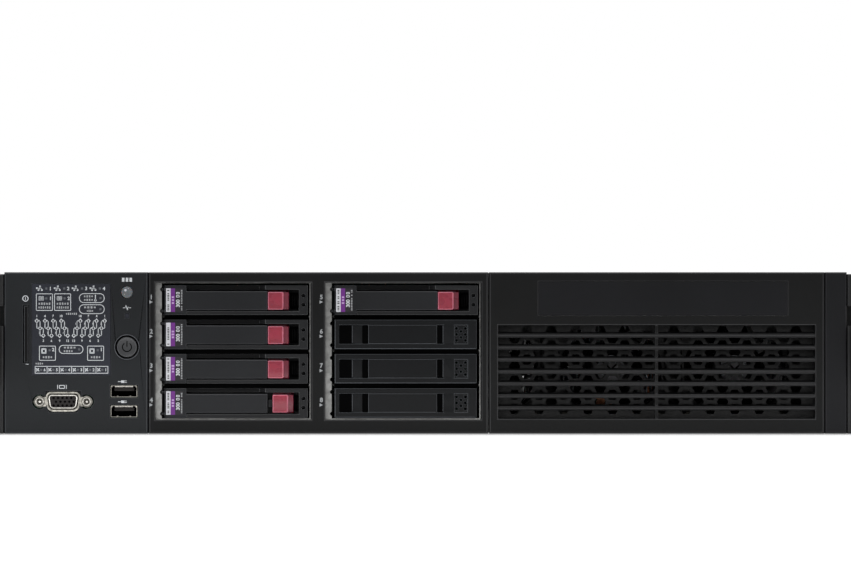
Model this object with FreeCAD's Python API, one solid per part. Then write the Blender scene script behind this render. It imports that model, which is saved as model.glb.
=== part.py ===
import FreeCAD, Part
import math
import os

# A 2U rack server: a row of moulded bezels in front of a sheet-metal tray, eight small
# hot-swap bays, a louvred air inlet, and the fans, board, risers and supplies behind them.
# Millimetres. +X right and +Y backward as seen from the front, +Z up. The origin is the
# centre of the bounding box's footprint, and the tray stands on Z = 0.

Vec = FreeCAD.Vector
ALONG_X, ALONG_Y, ALONG_Z = Vec(1, 0, 0), Vec(0, 1, 0), Vec(0, 0, 1)

# ---------------------------------------------------------------- general clearances
FIT = 0.3               # gap round a piece that slides or drops in
SHAFT_FIT = 0.06        # radial gap of a pivot in its hole
SEAM = 0.4              # line between two neighbouring bezels
SHEET = 1.2             # folded sheet metal
BOARD = 1.6             # circuit boards
SMALL_SIDES = 8         # flats of small round pins, posts and holes
OVERCUT = 1.0           # cuts go this far past a face

# ---------------------------------------------------------------- overall sizes
OVERALL_DEPTH = 692.2   # ear levers to supply handles
HEIGHT = 85.9           # two rack units less the gap to the neighbours
LEVER_REACH = 6.0       # ear levers in front of the bezels
HANDLE_REACH = 21.0     # supply handles behind the rear wall
FACE_Y = LEVER_REACH - OVERALL_DEPTH / 2
REAR_Y = OVERALL_DEPTH / 2 - HANDLE_REACH
COVER_DROP = 0.5        # covers lie this far below the bezels' tops
COVER_Z = HEIGHT - COVER_DROP
FLOOR_Z = SHEET

# ---------------------------------------------------------------- drive bays
BAY_ROWS = 4
BAY_COLUMNS = 2
CARRIER_COUNT = 5       # bays 1 to 5 hold drives, the rest hold blanks
BAY_SILL = 7.175        # below the lowest bay's share of height
BAY_HEADER = 5.725      # above the top bay's share of height
BAY_PITCH = (HEIGHT - BAY_SILL - BAY_HEADER) / BAY_ROWS
BAY_GAP = 2.65          # between two carriers
CARRIER_GAP_ABOVE = 1.05  # between a top carrier and the cage's roof
CARRIER_WIDTH = 76.8
COLUMN_GAP = 13.7       # between the two columns of carriers
COLUMN_PITCH = CARRIER_WIDTH + COLUMN_GAP
BAY_LEFT_MARGIN = 7.8   # bezel edge to the first column
BAY_RIGHT_MARGIN = 5.6
WINDOW_LEFT = 4.4       # window edge beyond the carrier, on the side of the strip
WINDOW_RIGHT = 1.9
WINDOW_END = 0.2        # window beyond the bays' shares of height

# ---------------------------------------------------------------- the row of bezels
CONTROL_WIDTH = 76.4
BAY_BEZEL_WIDTH = (BAY_LEFT_MARGIN + (BAY_COLUMNS - 1) * COLUMN_PITCH
                   + CARRIER_WIDTH + BAY_RIGHT_MARGIN)
GRILLE_WIDTH = 178.4
CAP_WIDTH = 11.5
BEZEL_WALL = 3.0
BEZEL_RETURN = 2.0
BEZEL_DEPTH = 14.0
BEZEL_EDGE = 0.6        # chamfer of a bezel's front edges
ROW_WIDTH = CONTROL_WIDTH + BAY_BEZEL_WIDTH + GRILLE_WIDTH + CAP_WIDTH + 3 * SEAM
CONTROL_X = -ROW_WIDTH / 2
BAY_BEZEL_X = CONTROL_X + CONTROL_WIDTH + SEAM
GRILLE_X = BAY_BEZEL_X + BAY_BEZEL_WIDTH + SEAM
CAP_X = GRILLE_X + GRILLE_WIDTH + SEAM
WALL_BACK_Y = FACE_Y + BEZEL_WALL
TRAY_FRONT_Y = FACE_Y + BEZEL_DEPTH
ROW_OVERHANG = 5.1      # bezels beyond the tray on each side
TRAY_SIDE = ROW_WIDTH / 2 - ROW_OVERHANG

# ---------------------------------------------------------------- rack ears
EAR_WIDTH = 16.8
EAR_CHEEK = 2.0
EAR_FLANGE = 2.0        # plate that lies on the rack rail
EAR_DEPTH = 16.1        # bezel face to the front of that plate
EAR_DROP = 1.0          # ears lie this far below the bezels' tops
EAR_FOOT = 20.6         # top of the lower fixed block
EAR_GAP_Z = 57.3        # finger gap above the lever
EAR_GAP_HEIGHT = 10.6
EAR_LEG = 60.0          # side leg along the tray
EAR_LEG_DROP = 12.0     # side leg below the tray's top
EAR_X = ROW_WIDTH / 2 + SEAM
FLANGE_Y = FACE_Y + EAR_DEPTH
EAR_PIVOT_R = 1.5
EAR_LEVER_ROOT = 3.2    # half thickness of the lever at its pivot
EAR_LEVER_WALL = 2.4
EAR_PIVOT_Z = EAR_FOOT + FIT + EAR_LEVER_ROOT
EAR_PIVOT_DEPTH = 2.6    # lever's axis behind the bezels' face
EAR_PIVOT_Y = FACE_Y + EAR_PIVOT_DEPTH
RACK_SCREW_R = 2.5
RACK_SCREW_NECK_R = 2.1  # in the flange's hole, so that the screw stays captive
RACK_SCREW_REACH = 16.0
RACK_SCREW_HEAD_R = 4.5
RACK_SCREW_HEAD = 4.0
RACK_SCREW_Z = 37.3     # third hole of the lower rack unit
RACK_SCREW_X = EAR_X + EAR_WIDTH / 2 - 0.25

# ---------------------------------------------------------------- grille
GRILLE_SIDE = 4.9
GRILLE_SILL = 8.0
GRILLE_OPENING = 49.7
LOUVRES = 7
LOUVRE_THICK = 2.44
LOUVRE_DEPTH = 7.0
LOUVRE_RISE = 1.2       # tail of a louvre above its nose
LOUVRE_INSET = 0.5
NOSE_STEPS = 4          # flats of a louvre's rounded nose
LOUVRE_END_GAP = 4.3
POST_THICK = 1.6
OPTICAL_WIDTH = 132.8
OPTICAL_OFFSET = 3.3    # its centre right of the grille's
OPTICAL_LIFT = 5.0      # above the grille's opening
OPTICAL_HEADER = 4.8    # below the bezel's top
OPTICAL_DEPTH = 9.0
OPTICAL_WALL = 2.0
SCREEN_THICK = 0.8
SCREEN_BORDER = 2.6     # screen beyond the grille's opening
HEX_PITCH = 7.56        # one column's holes
HEX_COLUMN = 6.55       # from column to column
HEX_FLATS = 5.5
HEX_MARGIN = 4.0        # plain border inside the opening

# ---------------------------------------------------------------- control panel
STATUS_LEFT = 14.6
STATUS_RIGHT = 19.8
STATUS_SILL = 31.0
STATUS_HEADER = 6.0
STATUS_THICK = 0.8
STATUS_PROUD = 0.1
BUTTON_COLUMN = 11.1    # buttons' centres from the bezel's right edge
POWER_DROP = 39.8       # power button below the bezel's top
POWER_Z = HEIGHT - POWER_DROP
POWER_R = 5.5
POWER_RING_R = 6.65
POWER_RING_PROUD = 0.8
POWER_TRAVEL = 1.2
ID_DROP = 10.6          # id button below the bezel's top
ID_R = 3.1
ID_TRAVEL = 0.8
BUTTON_PROUD = 0.6
BUTTON_SHOULDER = 0.9   # retaining collar round a button's tail
COLLAR_WALL = 1.2
COLLAR_DEPTH = 3.0
LED_DROP = 23.2
LED_Z = HEIGHT - LED_DROP
LED_SIZE = (2.4, 2.7)
TAB_LEFT = 9.9
TAB_SLOT = 3.2
TAB_SILL = 37.6
TAB_HEIGHT = 30.7
TAB_LENGTH = 62.0
TAB_SLEEVE_WALL = 1.0
TAB_GRIP = 4.0          # plain grip at the pull-tab's front end
TAB_WEB = 1.4           # leaf behind the grip
VGA_LEFT = 31.3
VGA_Z = 17.0
VGA_RIM = (19.0, 11.6)
VGA_SHELL = (16.3, 8.0)
VGA_SHELL_WALL = 0.5
VGA_LOBE_R = 4.0
VGA_SCREWS = 25.0       # jack nut to jack nut
VGA_NUT_R = 2.4
VGA_NUT_BORE = 1.42
VGA_NUT_PROUD = 0.6
VGA_NUT_LENGTH = 7.0
USB_INSET = 12.7        # ports' centres from the bezel's right edge
USB_LOW_Z = 11.9
USB_PITCH = 10.65
USB_SIZE = (14.4, 6.4)
USB_WALL = 0.4
USB_TONGUE = (11.0, 1.9)
USB_OPENING_DEPTH = 9.0
PORT_DEPTH = 10.6       # ports behind the bezel's face
IO_BOSS_R = 2.0         # posts that carry the front board

# ---------------------------------------------------------------- carrier and lever
CARRIER_INSET = 0.5     # carriers behind the bezel's face
LABEL_WIDTH = 12.2
LABEL_THICK = 1.6
HINGE_INSET = 3.0       # hinge from the carrier's left edge
HINGE_NOSE_R = 3.4      # rounded left end of the lever, about its hinge
LUG_WIDTH = 3.5         # lug's root, right of the hinge so that the teeth can swing
TRUNNION_R = 0.8
LUG_R = 1.55
LUG_THICK = 2.3
LUG_FLAT = math.cos(math.pi / SMALL_SIDES)
KNUCKLE_R = 3.0         # barrel between the lugs
CARRIER_BACK = 10.4
CARRIER_BACK_WALL = 1.6
LOWER_LIP = 1.9
UPPER_LIP = 2.1
LOWER_LIP_GAP = 0.6
UPPER_LIP_GAP = 0.9
LIP_RECESS = 4.0        # upper lip behind the front, over the lever
LIP_RAMP = 3.2
LIP_RAMP_LEAD = 1.0     # ramp ends this far short of the lever's end
LEVER_THICK = 5.0
LEVER_WALL = 1.4
LATCH_WIDTH = 11.1
LATCH_DEPTH = 5.0
LATCH_WALL = 1.8
LATCH_RAIL = 2.6        # wide sliding foot behind the button
LATCH_RECESS = 5.5      # free length right of the button
LATCH_STEP = 3.0        # finger step at the button's right end
LATCH_STEP_DROP = 1.0
HELD_BAY = 4            # this bay's button rests pushed over
HELD_OFFSET = 2.5
END_BLOCK = 4.6
LIGHT_R = 1.05
LIGHT_SPREAD = 4.9
LIGHT_DEPTH = 1.2
CAM_REACH = 0.9         # cam teeth beyond the lever's nose
CAM_THICK = 1.1
CAM_INSET = 2.0         # teeth from the carrier's top and bottom
RAIL_INSET = 1.6
RAIL_WALL = 1.575
RAIL_LENGTH = 112.0
DRIVE_LENGTH = 100.35
DRIVE_GAP = 0.4         # above and below a drive
DRIVE_BEVEL = 1.0

# ---------------------------------------------------------------- bay blank
BLANK_NARROWER = 1.2
BLANK_FRONT = 13.0
BLANK_POCKET = 4.0
BLANK_LENGTH = 62.0
BLANK_EDGE = 2.55
BLANK_GRIP = 15.45      # left recess
BLANK_SLOT = 3.6
BLANK_BLOCK = 5.6
BLANK_VENT = 7.1
BLANK_END = 4.8         # plain end right of the vent field
BLANK_PLATE = (CARRIER_WIDTH - BLANK_NARROWER - BLANK_EDGE - BLANK_GRIP - BLANK_SLOT
               - BLANK_BLOCK - BLANK_VENT - BLANK_END)
BLANK_RIB = 5.2         # raised block inside the left recess
BLANK_RIB_LEFT = 9.8
BLANK_VENT_DEPTH = 1.0
BLANK_HOLE_R = 0.8
BLANK_HOLE_PITCH = 3.2
BLANK_HOLE_COLUMNS = 3

# ---------------------------------------------------------------- drive cage
CAGE_SETBACK = 0.3      # cage behind the bezel's wall
CAGE_LENGTH = 118.0
STRIP_WIDTH = 3.5
STRIP_GAP = 0.8         # strip's edge to the carrier
NOTCH_R = 0.95
GUARD_GAP = 0.7         # sheet edge right of the carriers
GUARD_THICK = 1.0
LEDGE_THICK = 1.2
LEDGE_WIDTH = 5.0
CAGE_FLOOR = 1.2
CONNECTOR_HEIGHT = 5.0
CONNECTOR_WIDTH = 42.0
CONNECTOR_GAP = 0.4

# ---------------------------------------------------------------- fans
FANS = 6
FAN_SIZE = 60.0
FAN_DEPTH = 38.0
FAN_BORE_R = 28.4
FAN_PITCH = 70.0
FAN_WALL_GAP = 12.0     # air gap between the drive backplane and the fans
FAN_HUB_R = 12.5
FAN_HUB_DEPTH = 27.0
FAN_BLADES = 5
FAN_BLADE_TIP = 1.0     # tip to the bore
FAN_BLADE_THICK = 1.6   # along the sweep
FAN_BLADE_SHARE = 0.8   # of the hub's depth
FAN_BLADE_PITCH = 42.0  # degrees against the fan's axis
FAN_DUCT_SIDES = 16     # flats of the duct's wall
FAN_HUB_SIDES = 10
FAN_SPIDER = 3.0
FAN_ARM = 3.6
FAN_ARMS = 4
FAN_ARM_ROOT = 1.0      # arm's end inside the frame
FAN_SHAFT_R = 1.5

# ---------------------------------------------------------------- board and what stands on it
BOARD_LIFT = 6.0
BOARD_FRONT_GAP = 12.0  # behind the fans
BOARD_REAR_GAP = 16.0
BOARD_SIDE_GAP = 6.0
STANDOFF_FLATS = 2.8    # hexagon posts, by the radius to their flats
SINK_SIZE = (85.0, 100.0, 58.0)
SINK_BASE = 6.0
SINK_FINS = 11
SINK_FIN = 1.2
SINK_FRONT_GAP = 20.0
SINK_CENTRES = (-77.5, 102.5)
MEMORY_COUNT = 9
MEMORY_PITCH = 9.0
MEMORY_LENGTH = 133.35
MEMORY_HEIGHT = 26.0    # above its socket
MEMORY_THICK = 1.3
MEMORY_SOCKET = (6.4, 8.0)
MEMORY_CENTRES = (-165.0, 15.0)
CHIP_SINK = 40.0
CHIP_SINK_HEIGHT = 12.0
CHIP_SINK_BASE = 3.0
CHIP_SINK_FINS = 8

# ---------------------------------------------------------------- rear
SUPPLY_WIDTH = 86.0
SUPPLIES = 2
SUPPLY_HEADROOM = 3.1   # between the upper supply and the cover
SUPPLY_LENGTH = 190.0
SUPPLY_SIDE = 1.6       # from the tray's wall
HANDLE_THICK = 4.5      # bar of the loop handle
HANDLE_HEIGHT = 8.0
HANDLE_BEND = 7.0       # outer radius of its corners
HANDLE_SPAN = 30.0      # clear width inside the loop
HANDLE_OFFSET = 12.0    # handle's centre right of the supply's
INLET_WIDTH = 24.0
INLET_HEIGHT = 16.5
INLET_DEPTH = 15.0
INLET_OFFSET = -24.0
SUPPLY_VENTS = 5        # upright slots between the handle's roots
LATCH_TAB = (6.0, 14.0, 22.0)
SUPPLY_LATCH_TRAVEL = 3.0
RISER_WIDTH = 118.0
RISER_DEPTH = 172.0
RISER_SILL = 23.5
RISER_CENTRES = (-62.0, 68.0)
SLOTS = 3
SLOT_COVER_GAP = 1.8
SLOT_VENTS = 4          # windows in a slot cover
REAR_VENTS = 6          # upright slots right of the risers
REAR_VENT_SHARE = 0.58  # slot's width to the pitch
REAR_VENT_HEADER = 13.5
JACK = (15.6, 13.6)
JACK_OPENING = (11.8, 8.6)
JACK_DEPTH = 11.0
JACK_CENTRES = (-52.0, -35.0, 12.0, 29.0)
REAR_USB_CENTRES = (58.0, 76.0)
REAR_SERIAL_X = 104.0
REAR_VGA_X = -95.0
DSUB_REAR = (30.8, 12.4)
DSUB_BODY = (16.6, 8.4)
DSUB_NOSE = 5.0

# ---------------------------------------------------------------- covers
COVER_SPLIT = 14.0      # access panel starts this far in front of the fans' back
COVER_FLANGE = 9.0
LATCH_PLATE = (34.0, 52.0, 3.4)
LATCH_POCKET_DEPTH = 6.0
LATCH_POCKET_WALL = 1.2
LATCH_POCKET_GAP = 14.0  # finger hole in front of the latch plate
LATCH_FRONT = 40.0      # latch plate behind the panel's front edge
LATCH_PIVOT_R = 1.2
STUD_R = 2.4
STUD_HEAD_R = 4.0
STUD_REACH = 3.4
STUD_HEAD = 1.2
STUD_Z = 40.0
STUD_STATIONS = (0.22, 0.52, 0.82)  # along the tray's length


# ================================================================ helpers
def box(xs, ys, zs):
    """Block from three (low, high) pairs."""
    size = [high - low for low, high in (xs, ys, zs)]
    return Part.makeBox(*size, Vec(xs[0], ys[0], zs[0]))


def rod(centre, radius, length, direction):
    """Cylinder from a centre point along a direction."""
    return Part.makeCylinder(radius, length, centre, direction)


def ring_points(centre, radius, sides):
    """Corners of a regular outline about a centre (u, v)."""
    step = 2 * math.pi / sides
    return [(centre[0] + radius * math.cos(step * (k + 0.5)),
             centre[1] + radius * math.sin(step * (k + 0.5))) for k in range(sides)]


def faceted_rod(centre, radius, length, direction=ALONG_Y, sides=SMALL_SIDES):
    """Regular bar along an axis, inside a circle of the given radius."""
    if direction == ALONG_X:
        points = [Vec(centre.x, y, z) for y, z in ring_points((centre.y, centre.z), radius, sides)]
    elif direction == ALONG_Y:
        points = [Vec(x, centre.y, z) for x, z in ring_points((centre.x, centre.z), radius, sides)]
    else:
        points = [Vec(x, y, centre.z) for x, y in ring_points((centre.x, centre.y), radius, sides)]
    return prism(points, direction * length)


def faceted_hole(centre, radius, length, direction=ALONG_Y, sides=SMALL_SIDES):
    """Regular bar about a circle of the given radius, to cut a hole that clears it."""
    return faceted_rod(centre, radius / math.cos(math.pi / sides), length, direction, sides)


def prism(points, direction):
    """Solid swept from a closed outline of points."""
    outline = Part.makePolygon(points + points[:1])
    return Part.Face(outline).extrude(direction)


def profile_x(points, xs):
    """Solid from a (y, z) outline, along X."""
    return prism([Vec(xs[0], y, z) for y, z in points], ALONG_X * (xs[1] - xs[0]))


def profile_y(points, ys):
    """Solid from an (x, z) outline, along Y."""
    return prism([Vec(x, ys[0], z) for x, z in points], ALONG_Y * (ys[1] - ys[0]))


def profile_z(points, zs):
    """Solid from an (x, y) outline, along Z."""
    return prism([Vec(x, y, zs[0]) for x, y in points], ALONG_Z * (zs[1] - zs[0]))


def span(centre, size):
    """(low, high) pair about a centre."""
    return centre - size / 2, centre + size / 2


def mirrored(shape):
    """The same shape on the other side of the middle plane."""
    return shape.mirror(Vec(0, 0, 0), ALONG_X)


def turned(shape, centre, axis, degrees):
    """A turned copy of a shape."""
    copy = shape.copy()
    copy.rotate(centre, axis, degrees)
    return copy


def fused(first, *others):
    """One clean solid from pieces that touch."""
    return first.fuse(list(others)).removeSplitter() if others else first


def front_edges(shape, y, xs=None, zs=None):
    """Edges lying in the plane Y = y, inside the given ranges."""
    found = []
    for edge in shape.Edges:
        bounds = edge.BoundBox
        if abs(bounds.YMin - y) > 1e-6 or abs(bounds.YMax - y) > 1e-6:
            continue
        if xs and (bounds.XMin < xs[0] - 1e-6 or bounds.XMax > xs[1] + 1e-6):
            continue
        if zs and (bounds.ZMin < zs[0] - 1e-6 or bounds.ZMax > zs[1] + 1e-6):
            continue
        found.append(edge)
    return found


def d_outline(centre_x, centre_z, width, height, grow=0.0):
    """(x, z) corners of a D-shaped port, wider at its top."""
    half_w = width / 2 + grow
    half_h = height / 2 + grow
    slope = height / 6
    return [(centre_x - half_w + slope, centre_z - half_h),
            (centre_x + half_w - slope, centre_z - half_h),
            (centre_x + half_w, centre_z),
            (centre_x + half_w, centre_z + half_h),
            (centre_x - half_w, centre_z + half_h),
            (centre_x - half_w, centre_z)]


def export(name, pieces):
    """Write one node: a solid, or a group of separate solids."""
    shape = Part.makeCompound(pieces) if isinstance(pieces, list) else pieces
    shape.exportStep("parts/" + name + ".step")


# ================================================================ shared places
def bay_place(bay):
    """Left edge and centre height of bay 1 to 8, counted down each column."""
    column, row = divmod(bay - 1, BAY_ROWS)
    left = BAY_BEZEL_X + BAY_LEFT_MARGIN + column * COLUMN_PITCH
    return left, HEIGHT - BAY_HEADER - BAY_PITCH * (row + 0.5)


def window_spans(column):
    """X and Z ranges of one window of the drive bezel."""
    left = BAY_BEZEL_X + BAY_LEFT_MARGIN + column * COLUMN_PITCH
    xs = (left - WINDOW_LEFT, left + CARRIER_WIDTH + WINDOW_RIGHT)
    return xs, (BAY_SILL + WINDOW_END, HEIGHT - BAY_HEADER + WINDOW_END)


def hinge_place(bay):
    """Axis of a carrier's lever."""
    left, centre = bay_place(bay)
    return Vec(left + HINGE_INSET, CARRIER_Y + HINGE_NOSE_R, centre)


def button_x():
    """Centre line of the control panel's right column."""
    return CONTROL_X + CONTROL_WIDTH - BUTTON_COLUMN


def status_spans():
    """X and Z ranges of the status panel."""
    xs = (CONTROL_X + STATUS_LEFT, CONTROL_X + CONTROL_WIDTH - STATUS_RIGHT)
    return xs, (STATUS_SILL, HEIGHT - STATUS_HEADER)


def tab_spans():
    """X and Z ranges of the pull-tab's slot."""
    left = CONTROL_X + TAB_LEFT
    return (left, left + TAB_SLOT), (TAB_SILL, TAB_SILL + TAB_HEIGHT)


def usb_places():
    """Centres of the two front USB ports."""
    x = CONTROL_X + CONTROL_WIDTH - USB_INSET
    return [(x, USB_LOW_Z + USB_PITCH * level) for level in range(2)]


def grille_spans():
    """X and Z ranges of the louvred opening."""
    xs = (GRILLE_X + GRILLE_SIDE, GRILLE_X + GRILLE_WIDTH - GRILLE_SIDE)
    return xs, (GRILLE_SILL, GRILLE_SILL + GRILLE_OPENING)


def optical_spans():
    """X and Z ranges of the optical-drive opening."""
    centre = GRILLE_X + GRILLE_WIDTH / 2 + OPTICAL_OFFSET
    low = GRILLE_SILL + GRILLE_OPENING + OPTICAL_LIFT
    return span(centre, OPTICAL_WIDTH), (low, HEIGHT - OPTICAL_HEADER)


def fan_places():
    """Centres of the fans."""
    first = -FAN_PITCH * (FANS - 1) / 2
    return [Vec(first + FAN_PITCH * i, FAN_Y, FLOOR_Z + FAN_SIZE / 2) for i in range(FANS)]


def supply_spans(level):
    """X, Y and Z ranges of a power supply, level 0 or 1."""
    left = -TRAY_SIDE + SHEET + SUPPLY_SIDE
    low = FLOOR_Z + FIT + level * (SUPPLY_HEIGHT + 2 * FIT)
    return ((left, left + SUPPLY_WIDTH), (REAR_Y - SUPPLY_LENGTH, REAR_Y),
            (low, low + SUPPLY_HEIGHT))


def riser_spans(centre):
    """X, Y and Z ranges of a riser cage."""
    top = COVER_Z - SHEET - FIT
    return (span(centre, RISER_WIDTH), (REAR_Y - SHEET - RISER_DEPTH, REAR_Y - SHEET),
            (RISER_SILL, top))


CARRIER_Y = FACE_Y + CARRIER_INSET
CARRIER_HEIGHT = BAY_PITCH - BAY_GAP
CARRIER_HALF = CARRIER_HEIGHT / 2
LEVER_END = CARRIER_WIDTH - END_BLOCK - LATCH_RECESS - LATCH_WIDTH - FIT
LEVER_LOW = -CARRIER_HALF + LOWER_LIP + LOWER_LIP_GAP
LEVER_HIGH = CARRIER_HALF - UPPER_LIP - UPPER_LIP_GAP
LATCH_HEIGHT = LEVER_HIGH - LEVER_LOW - 2 * FIT
CAM_OFFSET = CARRIER_HALF - CAM_INSET
CAGE_ROOF_Z = HEIGHT - BAY_HEADER - BAY_GAP / 2 + CARRIER_GAP_ABOVE
CAGE_Y = WALL_BACK_Y + CAGE_SETBACK
CAGE_END_Y = CAGE_Y + CAGE_LENGTH
BACKPLANE_Y = CAGE_END_Y + FIT
FAN_Y = BACKPLANE_Y + BOARD + FAN_WALL_GAP
FAN_END_Y = FAN_Y + FAN_DEPTH
PANEL_Y = FAN_END_Y - COVER_SPLIT
BOARD_Z = FLOOR_Z + BOARD_LIFT
BOARD_TOP = BOARD_Z + BOARD
BOARD_Y = FAN_END_Y + BOARD_FRONT_GAP
SUPPLY_FRONT_Y = REAR_Y - SUPPLY_LENGTH
SUPPLY_ROOM = COVER_Z - SHEET - FLOOR_Z - SUPPLY_HEADROOM
SUPPLY_HEIGHT = (SUPPLY_ROOM - (2 * SUPPLIES - 1) * FIT) / SUPPLIES
IO_BOARD_Y = FACE_Y + PORT_DEPTH


# ================================================================ bezels
def bezel_shell(left, width):
    """Open-backed moulding with a front wall and four returns."""
    xs = (left, left + width)
    shell = box(xs, (FACE_Y, TRAY_FRONT_Y), (0, HEIGHT))
    shell = shell.makeChamfer(BEZEL_EDGE, front_edges(shell, FACE_Y))
    inner = (xs[0] + BEZEL_RETURN, xs[1] - BEZEL_RETURN)
    hollow = box(inner, (WALL_BACK_Y, TRAY_FRONT_Y), (BEZEL_RETURN, HEIGHT - BEZEL_RETURN))
    return shell.cut(hollow)


def collar(x, z, hole_r):
    """Tube behind the wall that guides a push button."""
    start = Vec(x, WALL_BACK_Y - BEZEL_WALL / 2, z)
    return faceted_hole(start, hole_r + COLLAR_WALL, COLLAR_DEPTH + BEZEL_WALL / 2)


def control_bezel():
    """Left bezel with the status recess, buttons, ports and the pull-tab's sleeve."""
    shell = bezel_shell(CONTROL_X, CONTROL_WIDTH)
    through = (FACE_Y - POWER_RING_PROUD - OVERCUT, WALL_BACK_Y + COLLAR_DEPTH + OVERCUT)
    depth = through[1] - through[0]
    ring = rod(Vec(button_x(), FACE_Y - POWER_RING_PROUD, POWER_Z), POWER_RING_R,
               BEZEL_WALL, ALONG_Y)
    tab_xs, tab_zs = tab_spans()
    wall = TAB_SLEEVE_WALL
    sleeve = box((tab_xs[0] - wall, tab_xs[1] + wall), (WALL_BACK_Y - wall, FACE_Y + TAB_LENGTH),
                 (tab_zs[0] - wall, tab_zs[1] + wall))
    id_z = HEIGHT - ID_DROP
    shell = fused(shell, ring, sleeve, collar(button_x(), POWER_Z, POWER_R + FIT),
                  collar(button_x(), id_z, ID_R + FIT))

    status_xs, status_zs = status_spans()
    cuts = [
        rod(Vec(button_x(), through[0], POWER_Z), POWER_R + FIT, depth, ALONG_Y),
        rod(Vec(button_x(), through[0], id_z), ID_R + FIT, depth, ALONG_Y),
        box(span(button_x(), LED_SIZE[0]), through, span(LED_Z, LED_SIZE[1])),
        box(status_xs, (through[0], FACE_Y + STATUS_THICK), status_zs),
        box(tab_xs, (through[0], FACE_Y + TAB_LENGTH + OVERCUT), tab_zs),
        profile_y(d_outline(vga_x(), VGA_Z, *VGA_RIM), through),
    ]
    for side in (-1, 1):
        centre = Vec(vga_x() + side * VGA_SCREWS / 2, through[0], VGA_Z)
        cuts.append(rod(centre, VGA_LOBE_R, depth, ALONG_Y))
    for x, z in usb_places():
        cuts.append(box(span(x, USB_SIZE[0] + 2 * FIT), through, span(z, USB_SIZE[1] + 2 * FIT)))
    shell = shell.cut(cuts)
    (board_xs, _, board_zs) = io_board_spans()
    bosses = []
    for x in (board_xs[0] + IO_BOSS_R, board_xs[1] - IO_BOSS_R):
        for z in (board_zs[0] + IO_BOSS_R, board_zs[1] - IO_BOSS_R):
            start = Vec(x, WALL_BACK_Y - BEZEL_WALL / 2, z)
            bosses.append(faceted_rod(start, IO_BOSS_R, IO_BOARD_Y - start.y))
    return fused(shell, *bosses)


def vga_x():
    """Centre of the monitor port."""
    return CONTROL_X + VGA_LEFT


def io_board_spans():
    """X, Y and Z ranges of the front board behind the control bezel."""
    tab_xs, _ = tab_spans()
    xs = (tab_xs[1] + TAB_SLEEVE_WALL + FIT, CONTROL_X + CONTROL_WIDTH - BEZEL_RETURN - FIT)
    zs = (BEZEL_RETURN + FIT, HEIGHT - BEZEL_RETURN - FIT)
    return xs, (IO_BOARD_Y, IO_BOARD_Y + BOARD), zs


def status_panel():
    """Printed overlay and the health light's lens."""
    xs, zs = status_spans()
    plate = box((xs[0] + FIT / 2, xs[1] - FIT / 2), (FACE_Y - STATUS_PROUD, FACE_Y + STATUS_THICK),
                (zs[0] + FIT / 2, zs[1] - FIT / 2))
    lens = box(span(button_x(), LED_SIZE[0] - FIT), (FACE_Y + FIT, IO_BOARD_Y),
               span(LED_Z, LED_SIZE[1] - FIT))
    return [plate, lens]


def push_button(x, z, radius, travel):
    """Button with a crowned edge, and a shoulder behind its collar."""
    shoulder_y = WALL_BACK_Y + COLLAR_DEPTH + FIT / 6
    head = rod(Vec(x, FACE_Y - BUTTON_PROUD, z), radius, shoulder_y - FACE_Y + BUTTON_PROUD,
               ALONG_Y)
    tail_end = IO_BOARD_Y - travel - FIT
    tail = faceted_rod(Vec(x, shoulder_y, z), radius + BUTTON_SHOULDER, tail_end - shoulder_y)
    return fused(head, tail)


def info_tab():
    """Pull-out information card: a finger grip and a leaf in the sleeve."""
    xs, zs = tab_spans()
    zs = (zs[0] + FIT, zs[1] - FIT)
    grip = box((xs[0] + FIT, xs[1] - FIT), (FACE_Y + FIT, FACE_Y + TAB_GRIP), zs)
    leaf = box(span(sum(xs) / 2, TAB_WEB), (FACE_Y + TAB_GRIP, FACE_Y + TAB_LENGTH - FIT), zs)
    rail = box((xs[0] + FIT, xs[1] - FIT),
               (FACE_Y + TAB_LENGTH - FIT - TAB_GRIP, FACE_Y + TAB_LENGTH - FIT), zs)
    groove = box((xs[0] + FIT, xs[0] + 2 * FIT), (FACE_Y, FACE_Y + TAB_GRIP), zs)
    return fused(grip, leaf, rail).cut(groove)


def vga_outline(grow):
    """Outline of the monitor port's shell, grown outward."""
    return d_outline(vga_x(), VGA_Z, *VGA_SHELL, grow)


def port_shells():
    """Bright shells of the front ports and the monitor port's two jack nuts."""
    front = FACE_Y + FIT
    ys = (front, IO_BOARD_Y)
    pieces = [profile_y(vga_outline(0), ys).cut(profile_y(vga_outline(-VGA_SHELL_WALL), ys))]
    for x, z in usb_places():
        outer = box(span(x, USB_SIZE[0]), ys, span(z, USB_SIZE[1]))
        inner = box(span(x, USB_SIZE[0] - 2 * USB_WALL), ys, span(z, USB_SIZE[1] - 2 * USB_WALL))
        pieces.append(outer.cut(inner))
    for side in (-1, 1):
        centre = Vec(vga_x() + side * VGA_SCREWS / 2, FACE_Y - VGA_NUT_PROUD, VGA_Z)
        nut = faceted_hole(centre, VGA_NUT_R, VGA_NUT_LENGTH, sides=6)
        flange = faceted_rod(centre + ALONG_Y * VGA_NUT_LENGTH, VGA_LOBE_R - FIT,
                             IO_BOARD_Y - centre.y - VGA_NUT_LENGTH)
        bore = rod(centre, VGA_NUT_BORE, VGA_NUT_LENGTH, ALONG_Y)
        pieces.append(fused(nut, flange).cut(bore))
    return pieces


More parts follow.
